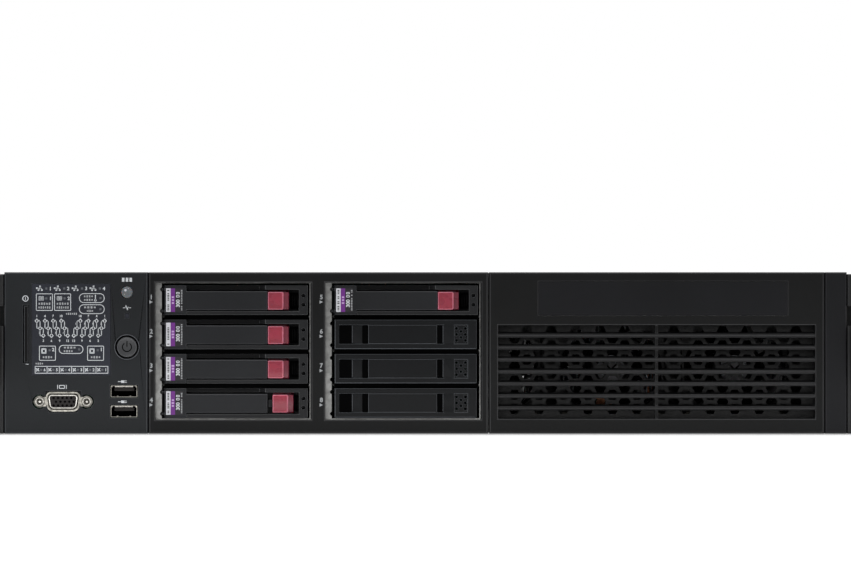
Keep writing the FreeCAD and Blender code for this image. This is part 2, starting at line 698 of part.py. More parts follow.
def port_inserts():
    """Black insulators of the front ports."""
    wall = VGA_SHELL_WALL + SHAFT_FIT
    insert_ys = (FACE_Y + 2 * BUTTON_PROUD, IO_BOARD_Y)
    pieces = [profile_y(vga_outline(-wall), insert_ys)]
    for x, z in usb_places():
        inner = (USB_SIZE[0] - 2 * USB_WALL - 2 * SHAFT_FIT,
                 USB_SIZE[1] - 2 * USB_WALL - 2 * SHAFT_FIT)
        base = box(span(x, inner[0]), (FACE_Y + USB_OPENING_DEPTH, IO_BOARD_Y),
                   span(z, inner[1]))
        tongue = box(span(x, USB_TONGUE[0]), (FACE_Y + 2 * BUTTON_PROUD, IO_BOARD_Y),
                     (z, z + USB_TONGUE[1]))
        pieces.append(fused(base, tongue))
    return pieces


def bay_bezel():
    """Middle bezel with one window for each column of bays."""
    shell = bezel_shell(BAY_BEZEL_X, BAY_BEZEL_WIDTH)
    for column in range(BAY_COLUMNS):
        xs, zs = window_spans(column)
        shell = shell.cut(box(xs, (FACE_Y - OVERCUT, WALL_BACK_Y), zs))
        rim = front_edges(shell, FACE_Y, xs, zs)
        shell = shell.makeChamfer(BEZEL_EDGE / 2, rim)
    return shell


def louvre_outline(centre_z):
    """(y, z) outline of one louvre: a rounded nose and a tapered, rising tail."""
    nose_y = FACE_Y + LOUVRE_INSET
    radius = LOUVRE_THICK / 2
    points = []
    for step in range(NOSE_STEPS + 1):
        angle = math.pi / 2 + math.pi * step / NOSE_STEPS
        points.append((nose_y + radius + radius * math.cos(angle),
                       centre_z + radius * math.sin(angle)))
    tail_y = nose_y + LOUVRE_DEPTH
    points.append((tail_y, centre_z + LOUVRE_RISE - radius / 2))
    points.append((tail_y, centre_z + LOUVRE_RISE + radius / 2))
    return points


def louvre_centres():
    """Heights of the louvres."""
    _, zs = grille_spans()
    first = zs[0] + LOUVRE_END_GAP + LOUVRE_THICK / 2
    last = zs[1] - LOUVRE_END_GAP - LOUVRE_THICK / 2
    pitch = (last - first) / (LOUVRES - 1)
    return [first + pitch * k for k in range(LOUVRES)]


def grille_bezel():
    """Right bezel: louvres and a post in the air inlet, and the optical opening."""
    shell = bezel_shell(GRILLE_X, GRILLE_WIDTH)
    xs, zs = grille_spans()
    optical_xs, optical_zs = optical_spans()
    shell = shell.cut(box(xs, (FACE_Y - OVERCUT, WALL_BACK_Y), zs))
    shell = shell.makeChamfer(BEZEL_EDGE / 2, front_edges(shell, FACE_Y, xs, zs))
    shell = shell.cut(box(optical_xs, (FACE_Y - OVERCUT, WALL_BACK_Y), optical_zs))
    bars = [profile_x(louvre_outline(z), xs) for z in louvre_centres()]
    post_ys = (FACE_Y + LOUVRE_INSET + LOUVRE_THICK / 2, FACE_Y + LOUVRE_DEPTH)
    bars.append(box(span(sum(xs) / 2, POST_THICK), post_ys, zs))
    for x in (xs[0] - BEZEL_RETURN, xs[1]):
        cheek_ys = (WALL_BACK_Y, FACE_Y + LOUVRE_DEPTH + LOUVRE_INSET)
        bars.append(box((x, x + BEZEL_RETURN), cheek_ys, zs))
    return fused(shell, *bars)


def optical_blank():
    """Shallow tray that closes the optical-drive opening."""
    xs, zs = optical_spans()
    gap = FIT / 2
    outer = box((xs[0] + gap, xs[1] - gap), (FACE_Y + FIT, FACE_Y + OPTICAL_DEPTH),
                (zs[0] + gap, zs[1] - gap))
    wall = OPTICAL_WALL
    inner = box((xs[0] + gap + wall, xs[1] - gap - wall),
                (FACE_Y + FIT + wall, FACE_Y + OPTICAL_DEPTH),
                (zs[0] + gap + wall, zs[1] - gap - wall))
    return outer.cut(inner)


def end_cap():
    """Narrow bezel at the right end of the row."""
    return bezel_shell(CAP_X, CAP_WIDTH)


def vent_screen():
    """Flat sheet with a honeycomb of holes, on the tray's front wall."""
    xs, zs = grille_spans()
    outer = [(xs[0] - SCREEN_BORDER, zs[0] - SCREEN_BORDER),
             (xs[1] + SCREEN_BORDER, zs[0] - SCREEN_BORDER),
             (xs[1] + SCREEN_BORDER, zs[1] + SCREEN_BORDER),
             (xs[0] - SCREEN_BORDER, zs[1] + SCREEN_BORDER)]
    y = TRAY_FRONT_Y - SCREEN_THICK
    rim = Part.makePolygon([Vec(x, y, z) for x, z in outer + outer[:1]])
    corner_r = HEX_FLATS / 2 / math.cos(math.pi / 6)
    columns = int((xs[1] - xs[0] - 2 * HEX_MARGIN - 2 * corner_r) / HEX_COLUMN) + 1
    first_x = (xs[0] + xs[1] - HEX_COLUMN * (columns - 1)) / 2
    holes = []
    for column in range(columns):
        low = zs[0] + HEX_MARGIN / 2 + HEX_FLATS / 2 + (column % 2) * HEX_PITCH / 2
        rows = int((zs[1] - HEX_FLATS / 2 - low) / HEX_PITCH) + 1
        for row in range(rows):
            centre = (first_x + HEX_COLUMN * column, low + HEX_PITCH * row)
            points = []
            for k in range(7):
                angle = math.pi * k / 3
                points.append(Vec(centre[0] + corner_r * math.cos(angle), y,
                                  centre[1] + corner_r * math.sin(angle)))
            holes.append(Part.makePolygon(points))
    return Part.Face([rim] + holes).extrude(ALONG_Y * SCREEN_THICK)


# ================================================================ drive bays
def cage_walls():
    """X positions (low, high) of the cage's upright sheets, column by column."""
    walls = []
    for column in range(BAY_COLUMNS):
        left = BAY_BEZEL_X + BAY_LEFT_MARGIN + column * COLUMN_PITCH
        strip = left - STRIP_GAP - STRIP_WIDTH
        guard = left + CARRIER_WIDTH + GUARD_GAP
        walls.append((strip - SHEET, strip))
        walls.append((guard, guard + GUARD_THICK))
    return walls


def drive_cage():
    """Sheet cage: uprights, floor, roof, runners, and the notched strips in front."""
    walls = cage_walls()
    roof_z = CAGE_ROOF_Z
    floor_z = BAY_SILL + BAY_GAP / 2 - FIT
    step_y = TRAY_FRONT_Y + SHEET + FIT
    low_z = BEZEL_RETURN + FIT
    outline = [(CAGE_Y, low_z), (step_y, low_z), (step_y, FLOOR_Z), (CAGE_END_Y, FLOOR_Z),
               (CAGE_END_Y, roof_z + SHEET), (CAGE_Y, roof_z + SHEET)]
    pieces = [profile_x(outline, xs) for xs in walls]
    outer = (walls[0][0], walls[-1][1])
    pieces.append(box(outer, (CAGE_Y, CAGE_END_Y), (roof_z, roof_z + SHEET)))
    pieces.append(box(outer, (CAGE_Y, CAGE_END_Y), (floor_z - CAGE_FLOOR, floor_z)))
    for column in range(BAY_COLUMNS):
        left_wall, right_wall = walls[2 * column], walls[2 * column + 1]
        strip_xs = (left_wall[1], left_wall[1] + STRIP_WIDTH)
        strip = box(strip_xs, (CAGE_Y, CAGE_Y + SHEET), (floor_z, roof_z))
        pieces.append(strip.cut(strip_notches(column, strip_xs[1])))
        for row in range(BAY_ROWS - 1):
            _, centre = bay_place(column * BAY_ROWS + row + 1)
            top = centre - CARRIER_HALF - FIT
            zs = (top - LEDGE_THICK, top)
            ys = (CAGE_Y, CAGE_END_Y)
            reach = STRIP_WIDTH + STRIP_GAP + LEDGE_WIDTH
            pieces.append(box((left_wall[1], left_wall[1] + reach), (CAGE_Y + SHEET, ys[1]), zs))
            pieces.append(box((right_wall[0] - LEDGE_WIDTH, right_wall[0]), ys, zs))
    return fused(*pieces)


def strip_notches(column, edge_x):
    """Round notches in a strip's edge, where the levers' cam teeth lie."""
    notches = []
    for row in range(BAY_ROWS):
        _, centre = bay_place(column * BAY_ROWS + row + 1)
        for side in (-1, 1):
            start = Vec(edge_x, CAGE_Y - OVERCUT, centre + side * CAM_OFFSET)
            notches.append(faceted_rod(start, NOTCH_R, SHEET + 2 * OVERCUT))
    return notches


def carrier(bay):
    """Moulded carrier: lips, end block, back wall, hinge lugs and two side rails."""
    left, centre = bay_place(bay)
    low, high = centre - CARRIER_HALF, centre + CARRIER_HALF
    back = (CARRIER_Y + CARRIER_BACK, CARRIER_Y + CARRIER_BACK + CARRIER_BACK_WALL)
    lip_left = left + LABEL_WIDTH + FIT
    right = left + CARRIER_WIDTH
    pieces = [box((left + RAIL_INSET, right), back, (low, high))]
    pieces.append(box((lip_left, right), (CARRIER_Y, back[1]), (low, low + LOWER_LIP)))
    ramp_end = left + LEVER_END - LIP_RAMP_LEAD
    lip = [(lip_left, back[1]), (lip_left, CARRIER_Y + LIP_RECESS),
           (ramp_end - LIP_RAMP, CARRIER_Y + LIP_RECESS), (ramp_end, CARRIER_Y),
           (right, CARRIER_Y), (right, back[1])]
    pieces.append(profile_z(lip, (high - UPPER_LIP, high)))
    block_x = right - END_BLOCK
    block = box((block_x, right), (CARRIER_Y, back[1]), (low, high))
    for side in (-1, 1):
        light = Vec(block_x + END_BLOCK / 2, CARRIER_Y, centre + side * LIGHT_SPREAD / 2)
        block = block.cut(faceted_rod(light, LIGHT_R, LIGHT_DEPTH))
    pieces.append(block)
    for side in (-1, 1):
        pieces.append(hinge_lug(bay, side, back[0]))
    post_x = left + LEVER_END + 2 * FIT
    pieces.append(box((post_x, post_x + LATCH_WALL), (CARRIER_Y + LATCH_WALL + FIT, back[0]),
                      span(centre - FIT, 2 * LATCH_WALL)))
    rail_ys = (back[0], CARRIER_Y + RAIL_LENGTH)
    for x in (left + RAIL_INSET, right - RAIL_INSET - RAIL_WALL):
        pieces.append(box((x, x + RAIL_WALL), rail_ys, (low, high)))
    return fused(*pieces)


def hinge_lug(bay, side, back_y):
    """Ear with a hole that carries one trunnion of the lever."""
    hinge = hinge_place(bay)
    outer = hinge.z + side * (CARRIER_HALF - SHAFT_FIT)
    zs = tuple(sorted((outer, outer - side * LUG_THICK)))
    start = Vec(hinge.x, hinge.y, zs[0])
    lug = fused(faceted_rod(start, LUG_R, LUG_THICK, ALONG_Z),
                box((hinge.x, hinge.x + LUG_WIDTH), (hinge.y - LUG_R * LUG_FLAT, back_y), zs))
    return lug.cut(faceted_hole(start, TRUNNION_R + SHAFT_FIT, LUG_THICK, ALONG_Z))


def ejector_lever(bay):
    """Label block, knuckle, hollow bar and cam teeth that swing as one piece."""
    left, centre = bay_place(bay)
    hinge = hinge_place(bay)
    block_end = left + LABEL_WIDTH
    knuckle_half = CARRIER_HALF - LUG_THICK - 2 * FIT
    face = nosed_plate(hinge, block_end, LABEL_THICK, centre, CARRIER_HALF)
    knuckle_z = (centre - knuckle_half, centre + knuckle_half)
    barrel = faceted_rod(Vec(hinge.x, hinge.y, knuckle_z[0]), KNUCKLE_R, 2 * knuckle_half, ALONG_Z)
    knuckle = box((hinge.x, block_end), (CARRIER_Y + LABEL_THICK / 2, hinge.y + KNUCKLE_R * LUG_FLAT),
                  knuckle_z)
    pin_half = CARRIER_HALF - FIT
    pin = faceted_rod(Vec(hinge.x, hinge.y, centre - pin_half), TRUNNION_R, 2 * pin_half, ALONG_Z)
    zs = (centre + LEVER_LOW, centre + LEVER_HIGH)
    bar = box((block_end, left + LEVER_END), (CARRIER_Y, CARRIER_Y + LEVER_THICK), zs)
    rounding = [edge for edge in front_edges(bar, CARRIER_Y) if edge.Length > LEVER_THICK * 3]
    bar = bar.makeChamfer(BEZEL_EDGE / 2, rounding)
    hollow = box((block_end + LEVER_WALL, left + LEVER_END - LEVER_WALL),
                 (CARRIER_Y + LEVER_WALL, CARRIER_Y + LEVER_THICK),
                 (zs[0] + LEVER_WALL, zs[1] - LEVER_WALL))
    teeth = [cam_tooth(hinge, centre + side * CAM_OFFSET) for side in (-1, 1)]
    return fused(face, barrel, knuckle, pin, bar.cut(hollow), *teeth)


def cam_tooth(hinge, z):
    """Hooked tooth on the lever's face that reaches into a notch, left of the lug."""
    inner = hinge.x - LUG_R - SHAFT_FIT * 3
    nose = hinge.x - HINGE_NOSE_R
    half = CAM_THICK / 2
    outline = [(inner, CARRIER_Y + LABEL_THICK / 2), (inner, hinge.y + half),
               (nose - CAM_REACH, hinge.y + half), (nose - CAM_REACH, hinge.y - half),
               (nose + SHAFT_FIT, hinge.y - half), (nose + LABEL_THICK / 2, CARRIER_Y + LABEL_THICK / 2)]
    return profile_z(outline, span(z, CAM_THICK))


def nosed_plate(hinge, end_x, depth, centre, half_height):
    """Plate whose left end is rounded about the hinge and whose front is flat."""
    nose = HINGE_NOSE_R
    zs = (centre - half_height, centre + half_height)
    flat = box((hinge.x, end_x), (CARRIER_Y, CARRIER_Y + depth), zs)
    disc = rod(Vec(hinge.x, hinge.y, zs[0]), nose, 2 * half_height, ALONG_Z)
    slab = box((hinge.x - nose - OVERCUT, hinge.x), (CARRIER_Y, CARRIER_Y + depth), zs)
    return fused(flat, disc.common(slab))


def latch_button(bay):
    """Red button: a cap with a stepped finger end over a wider sliding foot."""
    left, centre = bay_place(bay)
    shift = HELD_OFFSET if bay == HELD_BAY else 0
    x0 = left + LEVER_END + FIT + shift
    high = centre + LEVER_HIGH - FIT
    zs = (high - LATCH_HEIGHT, high)
    step = x0 + LATCH_WIDTH - LATCH_STEP
    top = [(x0, CARRIER_Y + LATCH_DEPTH), (x0, CARRIER_Y),
           (step, CARRIER_Y), (step + FIT, CARRIER_Y + LATCH_STEP_DROP),
           (x0 + LATCH_WIDTH, CARRIER_Y + LATCH_STEP_DROP),
           (x0 + LATCH_WIDTH, CARRIER_Y + LATCH_DEPTH)]
    cap = profile_z(top, zs)
    foot_ys = (CARRIER_Y + LATCH_DEPTH, CARRIER_Y + LATCH_DEPTH + LATCH_RAIL)
    foot_zs = (centre - CARRIER_HALF + LOWER_LIP + FIT, centre + CARRIER_HALF - UPPER_LIP - FIT)
    foot = box((x0, x0 + LATCH_WIDTH), foot_ys, foot_zs)
    channel = box((x0 - OVERCUT, x0 + LATCH_WIDTH - LATCH_WALL),
                  (CARRIER_Y + LATCH_WALL, foot_ys[1]),
                  span(centre - FIT, 2 * LATCH_WALL + 2 * FIT))
    return fused(cap, foot).cut(channel)


def drive(bay):
    """Small hard drive between the carrier's rails."""
    left, centre = bay_place(bay)
    side = RAIL_INSET + RAIL_WALL + FIT
    front = CARRIER_Y + CARRIER_BACK + CARRIER_BACK_WALL + FIT
    half = CARRIER_HALF - DRIVE_GAP
    body = box((left + side, left + CARRIER_WIDTH - side), (front, front + DRIVE_LENGTH),
               (centre - half, centre + half))
    rim = [edge for edge in body.Edges if edge.BoundBox.ZMin > centre + half - FIT]
    return body.makeChamfer(DRIVE_BEVEL, rim)


def bay_blank(bay):
    """Filler with a grip recess, a raised plate and a small vent field."""
    left, centre = bay_place(bay)
    left += BLANK_NARROWER / 2
    right = left + CARRIER_WIDTH - BLANK_NARROWER
    low, high = centre - CARRIER_HALF, centre + CARRIER_HALF
    front = box((left, right), (CARRIER_Y, CARRIER_Y + BLANK_FRONT), (low, high))
    hollow = box((left + LEVER_WALL, right - LEVER_WALL),
                 (CARRIER_Y + BLANK_POCKET + LEVER_WALL, CARRIER_Y + BLANK_FRONT),
                 (low + LEVER_WALL, high - LEVER_WALL))
    zs = (centre - CARRIER_HALF + 2 * LEVER_WALL, centre + CARRIER_HALF - 2 * LEVER_WALL)
    pocket_ys = (CARRIER_Y - OVERCUT, CARRIER_Y + BLANK_POCKET)
    plate_x = left + BLANK_EDGE + BLANK_GRIP
    slot_x = plate_x + BLANK_PLATE
    vent_x = slot_x + BLANK_SLOT + BLANK_BLOCK
    rib_xs = (left + BLANK_RIB_LEFT, left + BLANK_RIB_LEFT + BLANK_RIB)
    rib = box(rib_xs, (CARRIER_Y + FIT, CARRIER_Y + BLANK_POCKET + LEVER_WALL), zs)
    grip = box((left + BLANK_EDGE, plate_x), pocket_ys, zs)
    slot = box((slot_x, slot_x + BLANK_SLOT), pocket_ys, zs)
    vent = box((vent_x, vent_x + BLANK_VENT), (CARRIER_Y - OVERCUT, CARRIER_Y + BLANK_VENT_DEPTH), zs)
    front = fused(front.cut([hollow, grip, slot, vent] + vent_holes(vent_x, centre)), rib)
    rail_ys = (CARRIER_Y + BLANK_FRONT, CARRIER_Y + BLANK_LENGTH)
    rails = [box((x, x + RAIL_WALL), rail_ys, (low, high)) for x in (left, right - RAIL_WALL)]
    return fused(front, *rails)


def vent_holes(vent_x, centre):
    """Staggered holes of a blank's vent field."""
    holes = []
    for column in range(BLANK_HOLE_COLUMNS):
        x = vent_x + BLANK_VENT * (column + 0.5) / BLANK_HOLE_COLUMNS
        count = BLANK_HOLE_COLUMNS - column % 2
        for row in range(count):
            z = centre + (row - (count - 1) / 2) * BLANK_HOLE_PITCH
            holes.append(faceted_rod(Vec(x, CARRIER_Y, z), BLANK_HOLE_R, BLANK_FRONT, sides=6))
    return holes


# ================================================================ ears
def ear_outline():
    """(x, z) outline of the right ear's front, stepped round the finger gap."""
    outer = EAR_X + EAR_WIDTH
    return (EAR_X, outer), (0, HEIGHT - EAR_DROP)


def rack_ears():
    """Both ear housings with their flanges and side legs, and the captive rack screws."""
    xs, zs = ear_outline()
    housing = box(xs, (FACE_Y, FLANGE_Y), zs)
    housing = housing.makeChamfer(BEZEL_EDGE, front_edges(housing, FACE_Y))
    lever_xs = (xs[0] + EAR_CHEEK, xs[1] - EAR_CHEEK)
    bay = box(lever_xs, (FACE_Y - OVERCUT, FLANGE_Y), (EAR_FOOT, EAR_GAP_Z + EAR_GAP_HEIGHT))
    gap = box((xs[0] - OVERCUT, xs[1] + OVERCUT), (FACE_Y - OVERCUT, FLANGE_Y),
              (EAR_GAP_Z, EAR_GAP_Z + EAR_GAP_HEIGHT))
    pivot = faceted_hole(Vec(xs[0] - OVERCUT, EAR_PIVOT_Y, EAR_PIVOT_Z), EAR_PIVOT_R + SHAFT_FIT,
                         EAR_WIDTH + 2 * OVERCUT, ALONG_X)
    housing = housing.cut([bay, gap, pivot])
    leg_zs = (zs[0], COVER_Z - EAR_LEG_DROP)
    flange = box((xs[0], xs[1]), (FLANGE_Y, FLANGE_Y + EAR_FLANGE), zs)
    bend = box((TRAY_SIDE, xs[0]), (FLANGE_Y, FLANGE_Y + EAR_FLANGE), leg_zs)
    leg = box((TRAY_SIDE, TRAY_SIDE + EAR_FLANGE), (FLANGE_Y, FLANGE_Y + EAR_LEG), leg_zs)
    ear = fused(housing, flange, bend, leg)
    hole = faceted_hole(Vec(RACK_SCREW_X, FLANGE_Y - OVERCUT, RACK_SCREW_Z), RACK_SCREW_NECK_R + FIT / 2,
                        EAR_FLANGE + 2 * OVERCUT)
    ear = ear.cut(hole)
    screw = rack_screw()
    return [ear, screw, mirrored(ear), mirrored(screw)]


def rack_screw():
    """Captive screw behind the lever: a round head, a neck and the threaded end."""
    head_y = FLANGE_Y - RACK_SCREW_HEAD
    head = rod(Vec(RACK_SCREW_X, head_y, RACK_SCREW_Z), RACK_SCREW_HEAD_R, RACK_SCREW_HEAD, ALONG_Y)
    neck = rod(Vec(RACK_SCREW_X, FLANGE_Y, RACK_SCREW_Z), RACK_SCREW_NECK_R, EAR_FLANGE, ALONG_Y)
    shank = rod(Vec(RACK_SCREW_X, FLANGE_Y + EAR_FLANGE, RACK_SCREW_Z), RACK_SCREW_R,
                RACK_SCREW_REACH, ALONG_Y)
    return fused(head, neck, shank)


def ear_lever(side):
    """Quick-release lever: bowed finger plate with ribs, on two trunnions."""
    xs = (EAR_X + EAR_CHEEK + FIT, EAR_X + EAR_WIDTH - EAR_CHEEK - FIT)
    root = EAR_LEVER_ROOT
    y, z = EAR_PIVOT_Y, EAR_PIVOT_Z
    tip_z = EAR_GAP_Z
    tip_y = FACE_Y - LEVER_REACH
    wall = EAR_LEVER_WALL
    start = Vec(xs[0], y - root, z)
    outer_mid = Vec(xs[0], (y - root + tip_y) / 2 - wall / 2, (z + tip_z) / 2)
    outer_end = Vec(xs[0], tip_y, tip_z - wall)
    tip = Vec(xs[0], tip_y + wall / 2, tip_z)
    inner_tip = Vec(xs[0], tip_y + wall, tip_z)
    back = Vec(xs[0], y + root, (z + tip_z) / 2)
    heel = Vec(xs[0], y + root, z)
    below = Vec(xs[0], y, z - root)
    edges = [Part.Arc(start, outer_mid, outer_end).toShape(),
             Part.makeLine(outer_end, tip), Part.makeLine(tip, inner_tip),
             Part.makeLine(inner_tip, back), Part.makeLine(back, heel),
             Part.Arc(heel, below, start).toShape()]
    body = Part.Face(Part.Wire(edges)).extrude(ALONG_X * (xs[1] - xs[0]))
    pin = faceted_rod(Vec(EAR_X + FIT, y, z), EAR_PIVOT_R, EAR_WIDTH - 2 * FIT, ALONG_X)
    lever = fused(body, pin)
    return lever if side > 0 else mirrored(lever)


# ================================================================ tray and covers
def chassis_tray():
    """Folded tray: floor, sides, front and rear walls, standoffs and rail studs."""
    outer = box((-TRAY_SIDE, TRAY_SIDE), (TRAY_FRONT_Y, REAR_Y), (0, COVER_Z - SHEET))
    inner = box((-TRAY_SIDE + SHEET, TRAY_SIDE - SHEET), (TRAY_FRONT_Y + SHEET, REAR_Y - SHEET),
                (SHEET, COVER_Z))
    tray = outer.cut(inner).cut(front_wall_cuts() + rear_wall_cuts())
    return fused(tray, *standoffs(), *rail_studs())


def front_wall_cuts():
    """Openings of the tray's front wall."""
    ys = (TRAY_FRONT_Y - OVERCUT, TRAY_FRONT_Y + SHEET)
    walls = cage_walls()
    roof_z = CAGE_ROOF_Z + SHEET
    tab_xs, tab_zs = tab_spans()
    room = TAB_SLEEVE_WALL + FIT
    grille_xs, grille_zs = grille_spans()
    optical_xs, optical_zs = optical_spans()
    return [
        box((walls[0][0] - FIT, walls[-1][1] + FIT), ys, (BEZEL_RETURN, roof_z + FIT)),
        box((tab_xs[0] - room, tab_xs[1] + room), ys, (tab_zs[0] - room, tab_zs[1] + room)),
        box(grille_xs, ys, grille_zs),
        box((optical_xs[0] + SHEET, optical_xs[1] - SHEET), ys,
            (optical_zs[0] + SHEET, optical_zs[1] - SHEET)),
    ]


def rear_wall_cuts():
    """Openings of the rear wall: supplies, riser slots, port row and vents."""
    ys = (REAR_Y - SHEET, REAR_Y + OVERCUT)
    lower, upper = supply_spans(0), supply_spans(1)
    cuts = [box((lower[0][0] - FIT, lower[0][1] + FIT), ys, (lower[2][0] - FIT, upper[2][1] + FIT))]
    for centre in RISER_CENTRES:
        xs, _, zs = riser_spans(centre)
        cuts.append(box((xs[0] + SHEET, xs[1] - SHEET), ys, (zs[0] + SHEET, zs[1] - SHEET)))
    for centre_x, size in port_windows():
        cuts.append(box(span(centre_x, size[0]), ys, (BOARD_TOP, BOARD_TOP + size[1])))
    right = RISER_CENTRES[-1] + RISER_WIDTH / 2
    vent_room = TRAY_SIDE - SHEET - right
    pitch = vent_room / (REAR_VENTS + 1)
    for k in range(REAR_VENTS):
        x = right + pitch * (k + 1)
        cuts.append(box(span(x, pitch * REAR_VENT_SHARE), ys,
                        (RISER_SILL, COVER_Z - REAR_VENT_HEADER)))
    return cuts


def port_windows():
    """Centre and size of every port of the rear row."""
    windows = [(x, JACK) for x in JACK_CENTRES]
    windows += [(x, JACK) for x in REAR_USB_CENTRES]
    windows += [(REAR_VGA_X, DSUB_REAR), (REAR_SERIAL_X, DSUB_REAR)]
    return windows


def standoffs():
    """Posts under the system board."""
    xs, ys = board_spans()
    posts = []
    inset = 3 * STANDOFF_FLATS
    places = [(x, y) for x in (xs[0] + inset, 0, xs[1] - inset)
              for y in (ys[0] + inset, (ys[0] + SUPPLY_FRONT_Y) / 2)]
    places += [(x, ys[1] - inset) for x in (0, xs[1] - inset)]
    for x, y in places:
        posts.append(faceted_hole(Vec(x, y, SHEET / 2), STANDOFF_FLATS, BOARD_Z - SHEET / 2,
                                  ALONG_Z, sides=6))
    return posts


def rail_studs():
    """Shouldered studs on both sides that hang in the slide rails."""
    length = REAR_Y - TRAY_FRONT_Y
    studs = []
    for share in STUD_STATIONS:
        y = TRAY_FRONT_Y + length * share
        start = Vec(TRAY_SIDE - SHEET / 2, y, STUD_Z)
        shank = faceted_rod(start, STUD_R, SHEET / 2 + STUD_REACH - STUD_HEAD, ALONG_X)
        head = faceted_rod(Vec(TRAY_SIDE + STUD_REACH - STUD_HEAD, y, STUD_Z), STUD_HEAD_R,
                           STUD_HEAD, ALONG_X)
        stud = fused(shank, head)
        studs += [stud, mirrored(stud)]
    return studs


def cover_sheet(ys):
    """Folded lid: a top sheet and two flanges outside the tray."""
    outer_x = TRAY_SIDE + FIT + SHEET
    top = box((-outer_x, outer_x), ys, (COVER_Z - SHEET, COVER_Z))
    lid = [top]
    for x in (-outer_x, TRAY_SIDE + FIT):
        lid.append(box((x, x + SHEET), ys, (COVER_Z - COVER_FLANGE, COVER_Z)))
    return fused(*lid)


def front_cover():
    """Fixed cover over the drives and the fans' front."""
    return cover_sheet((TRAY_FRONT_Y + FIT, PANEL_Y - SEAM))


def latch_spans():
    """X, Y and Z ranges of the cover latch's plate."""
    front = PANEL_Y + LATCH_FRONT
    return (span(0, LATCH_PLATE[0]), (front, front + LATCH_PLATE[1]),
            (COVER_Z - FIT - LATCH_PLATE[2], COVER_Z - FIT))


def access_panel():
    """Lift-off panel with a tub for its latch and a rear lip."""
    panel = cover_sheet((PANEL_Y, REAR_Y))
    xs, ys, _ = latch_spans()
    wall = LATCH_POCKET_WALL
    room_xs = (xs[0] - FIT, xs[1] + FIT)
    room_ys = (ys[0] - LATCH_POCKET_GAP, ys[1] + FIT)
    floor_z = COVER_Z - LATCH_POCKET_DEPTH
    tub = box((room_xs[0] - wall, room_xs[1] + wall), (room_ys[0] - wall, room_ys[1] + wall),
              (floor_z - wall, COVER_Z))
    room = box(room_xs, room_ys, (floor_z, COVER_Z + OVERCUT))
    pivot = latch_pivot()
    hole = faceted_hole(Vec(room_xs[0] - wall / 2, pivot.y, pivot.z), LATCH_PIVOT_R + SHAFT_FIT,
                        room_xs[1] - room_xs[0] + wall, ALONG_X)
    return fused(panel, tub).cut([room, hole])


def latch_pivot():
    """Axis of the cover latch."""
    _, ys, zs = latch_spans()
    half = LATCH_PLATE[2] / 2
    return Vec(0, ys[1] - half, zs[0] + half)


def cover_latch():
    """Flat lever with a rounded rear end and two stub pivots."""
    xs, ys, zs = latch_spans()
    pivot = latch_pivot()
    half = LATCH_PLATE[2] / 2
    plate = box(xs, (ys[0], pivot.y), zs)
    plate = plate.makeChamfer(BEZEL_EDGE, front_edges(plate, ys[0]))
    barrel = rod(Vec(xs[0], pivot.y, pivot.z), half, xs[1] - xs[0], ALONG_X)
    stub = LATCH_POCKET_WALL / 2 + FIT / 2
    pin = faceted_rod(Vec(xs[0] - stub, pivot.y, pivot.z), LATCH_PIVOT_R,
                      xs[1] - xs[0] + 2 * stub, ALONG_X)
    return fused(plate, barrel, pin)


# ================================================================ boards and cooling
def small_boards():
    """Front board, drive backplane with its connectors, and power backplane."""
    boards = [box(*io_board_spans())]
    walls = cage_walls()
    xs = (walls[0][0], walls[-1][1])
    pieces = [box(xs, (BACKPLANE_Y, BACKPLANE_Y + BOARD), (FLOOR_Z, HEIGHT - BAY_HEADER))]
    drive_end = CARRIER_Y + CARRIER_BACK + CARRIER_BACK_WALL + FIT + DRIVE_LENGTH
    for bay in range(1, BAY_ROWS * BAY_COLUMNS + 1):
        left, centre = bay_place(bay)
        pieces.append(box(span(left + CARRIER_WIDTH / 2, CONNECTOR_WIDTH),
                          (drive_end + CONNECTOR_GAP, BACKPLANE_Y), span(centre, CONNECTOR_HEIGHT)))
    boards.append(fused(*pieces))
    lower, upper = supply_spans(0), supply_spans(1)
    power_y = lower[1][0] - FIT - BOARD
    boards.append(box(lower[0], (power_y, power_y + BOARD), (FLOOR_Z, upper[2][1])))
    return boards


def fan_frames():
    """Square frames with a round duct and a four-armed bearing spider."""
    frames = []
    for place in fan_places():
        ys = (place.y, place.y + FAN_DEPTH)
        frame = box(span(place.x, FAN_SIZE), ys, (FLOOR_Z, FLOOR_Z + FAN_SIZE))
        frame = frame.cut(faceted_hole(place, FAN_BORE_R, FAN_DEPTH, sides=FAN_DUCT_SIDES))
        spider_y = ys[1] - FAN_SPIDER
        hub = faceted_rod(Vec(place.x, spider_y, place.z), FAN_HUB_R, FAN_SPIDER,
                          sides=FAN_HUB_SIDES)
        arms = []
        for k in range(FAN_ARMS // 2):
            bar = box(span(place.x, 2 * (FAN_BORE_R + FAN_ARM_ROOT)), (spider_y, ys[1]),
                      span(place.z, FAN_ARM))
            arms.append(turned(bar, place, ALONG_Y, 90 * (k + 0.5)))
        shaft_hole = faceted_hole(Vec(place.x, spider_y, place.z), FAN_SHAFT_R + SHAFT_FIT,
                                  FAN_SPIDER)
        frames.append(fused(frame, hub, *arms).cut(shaft_hole))
    return frames


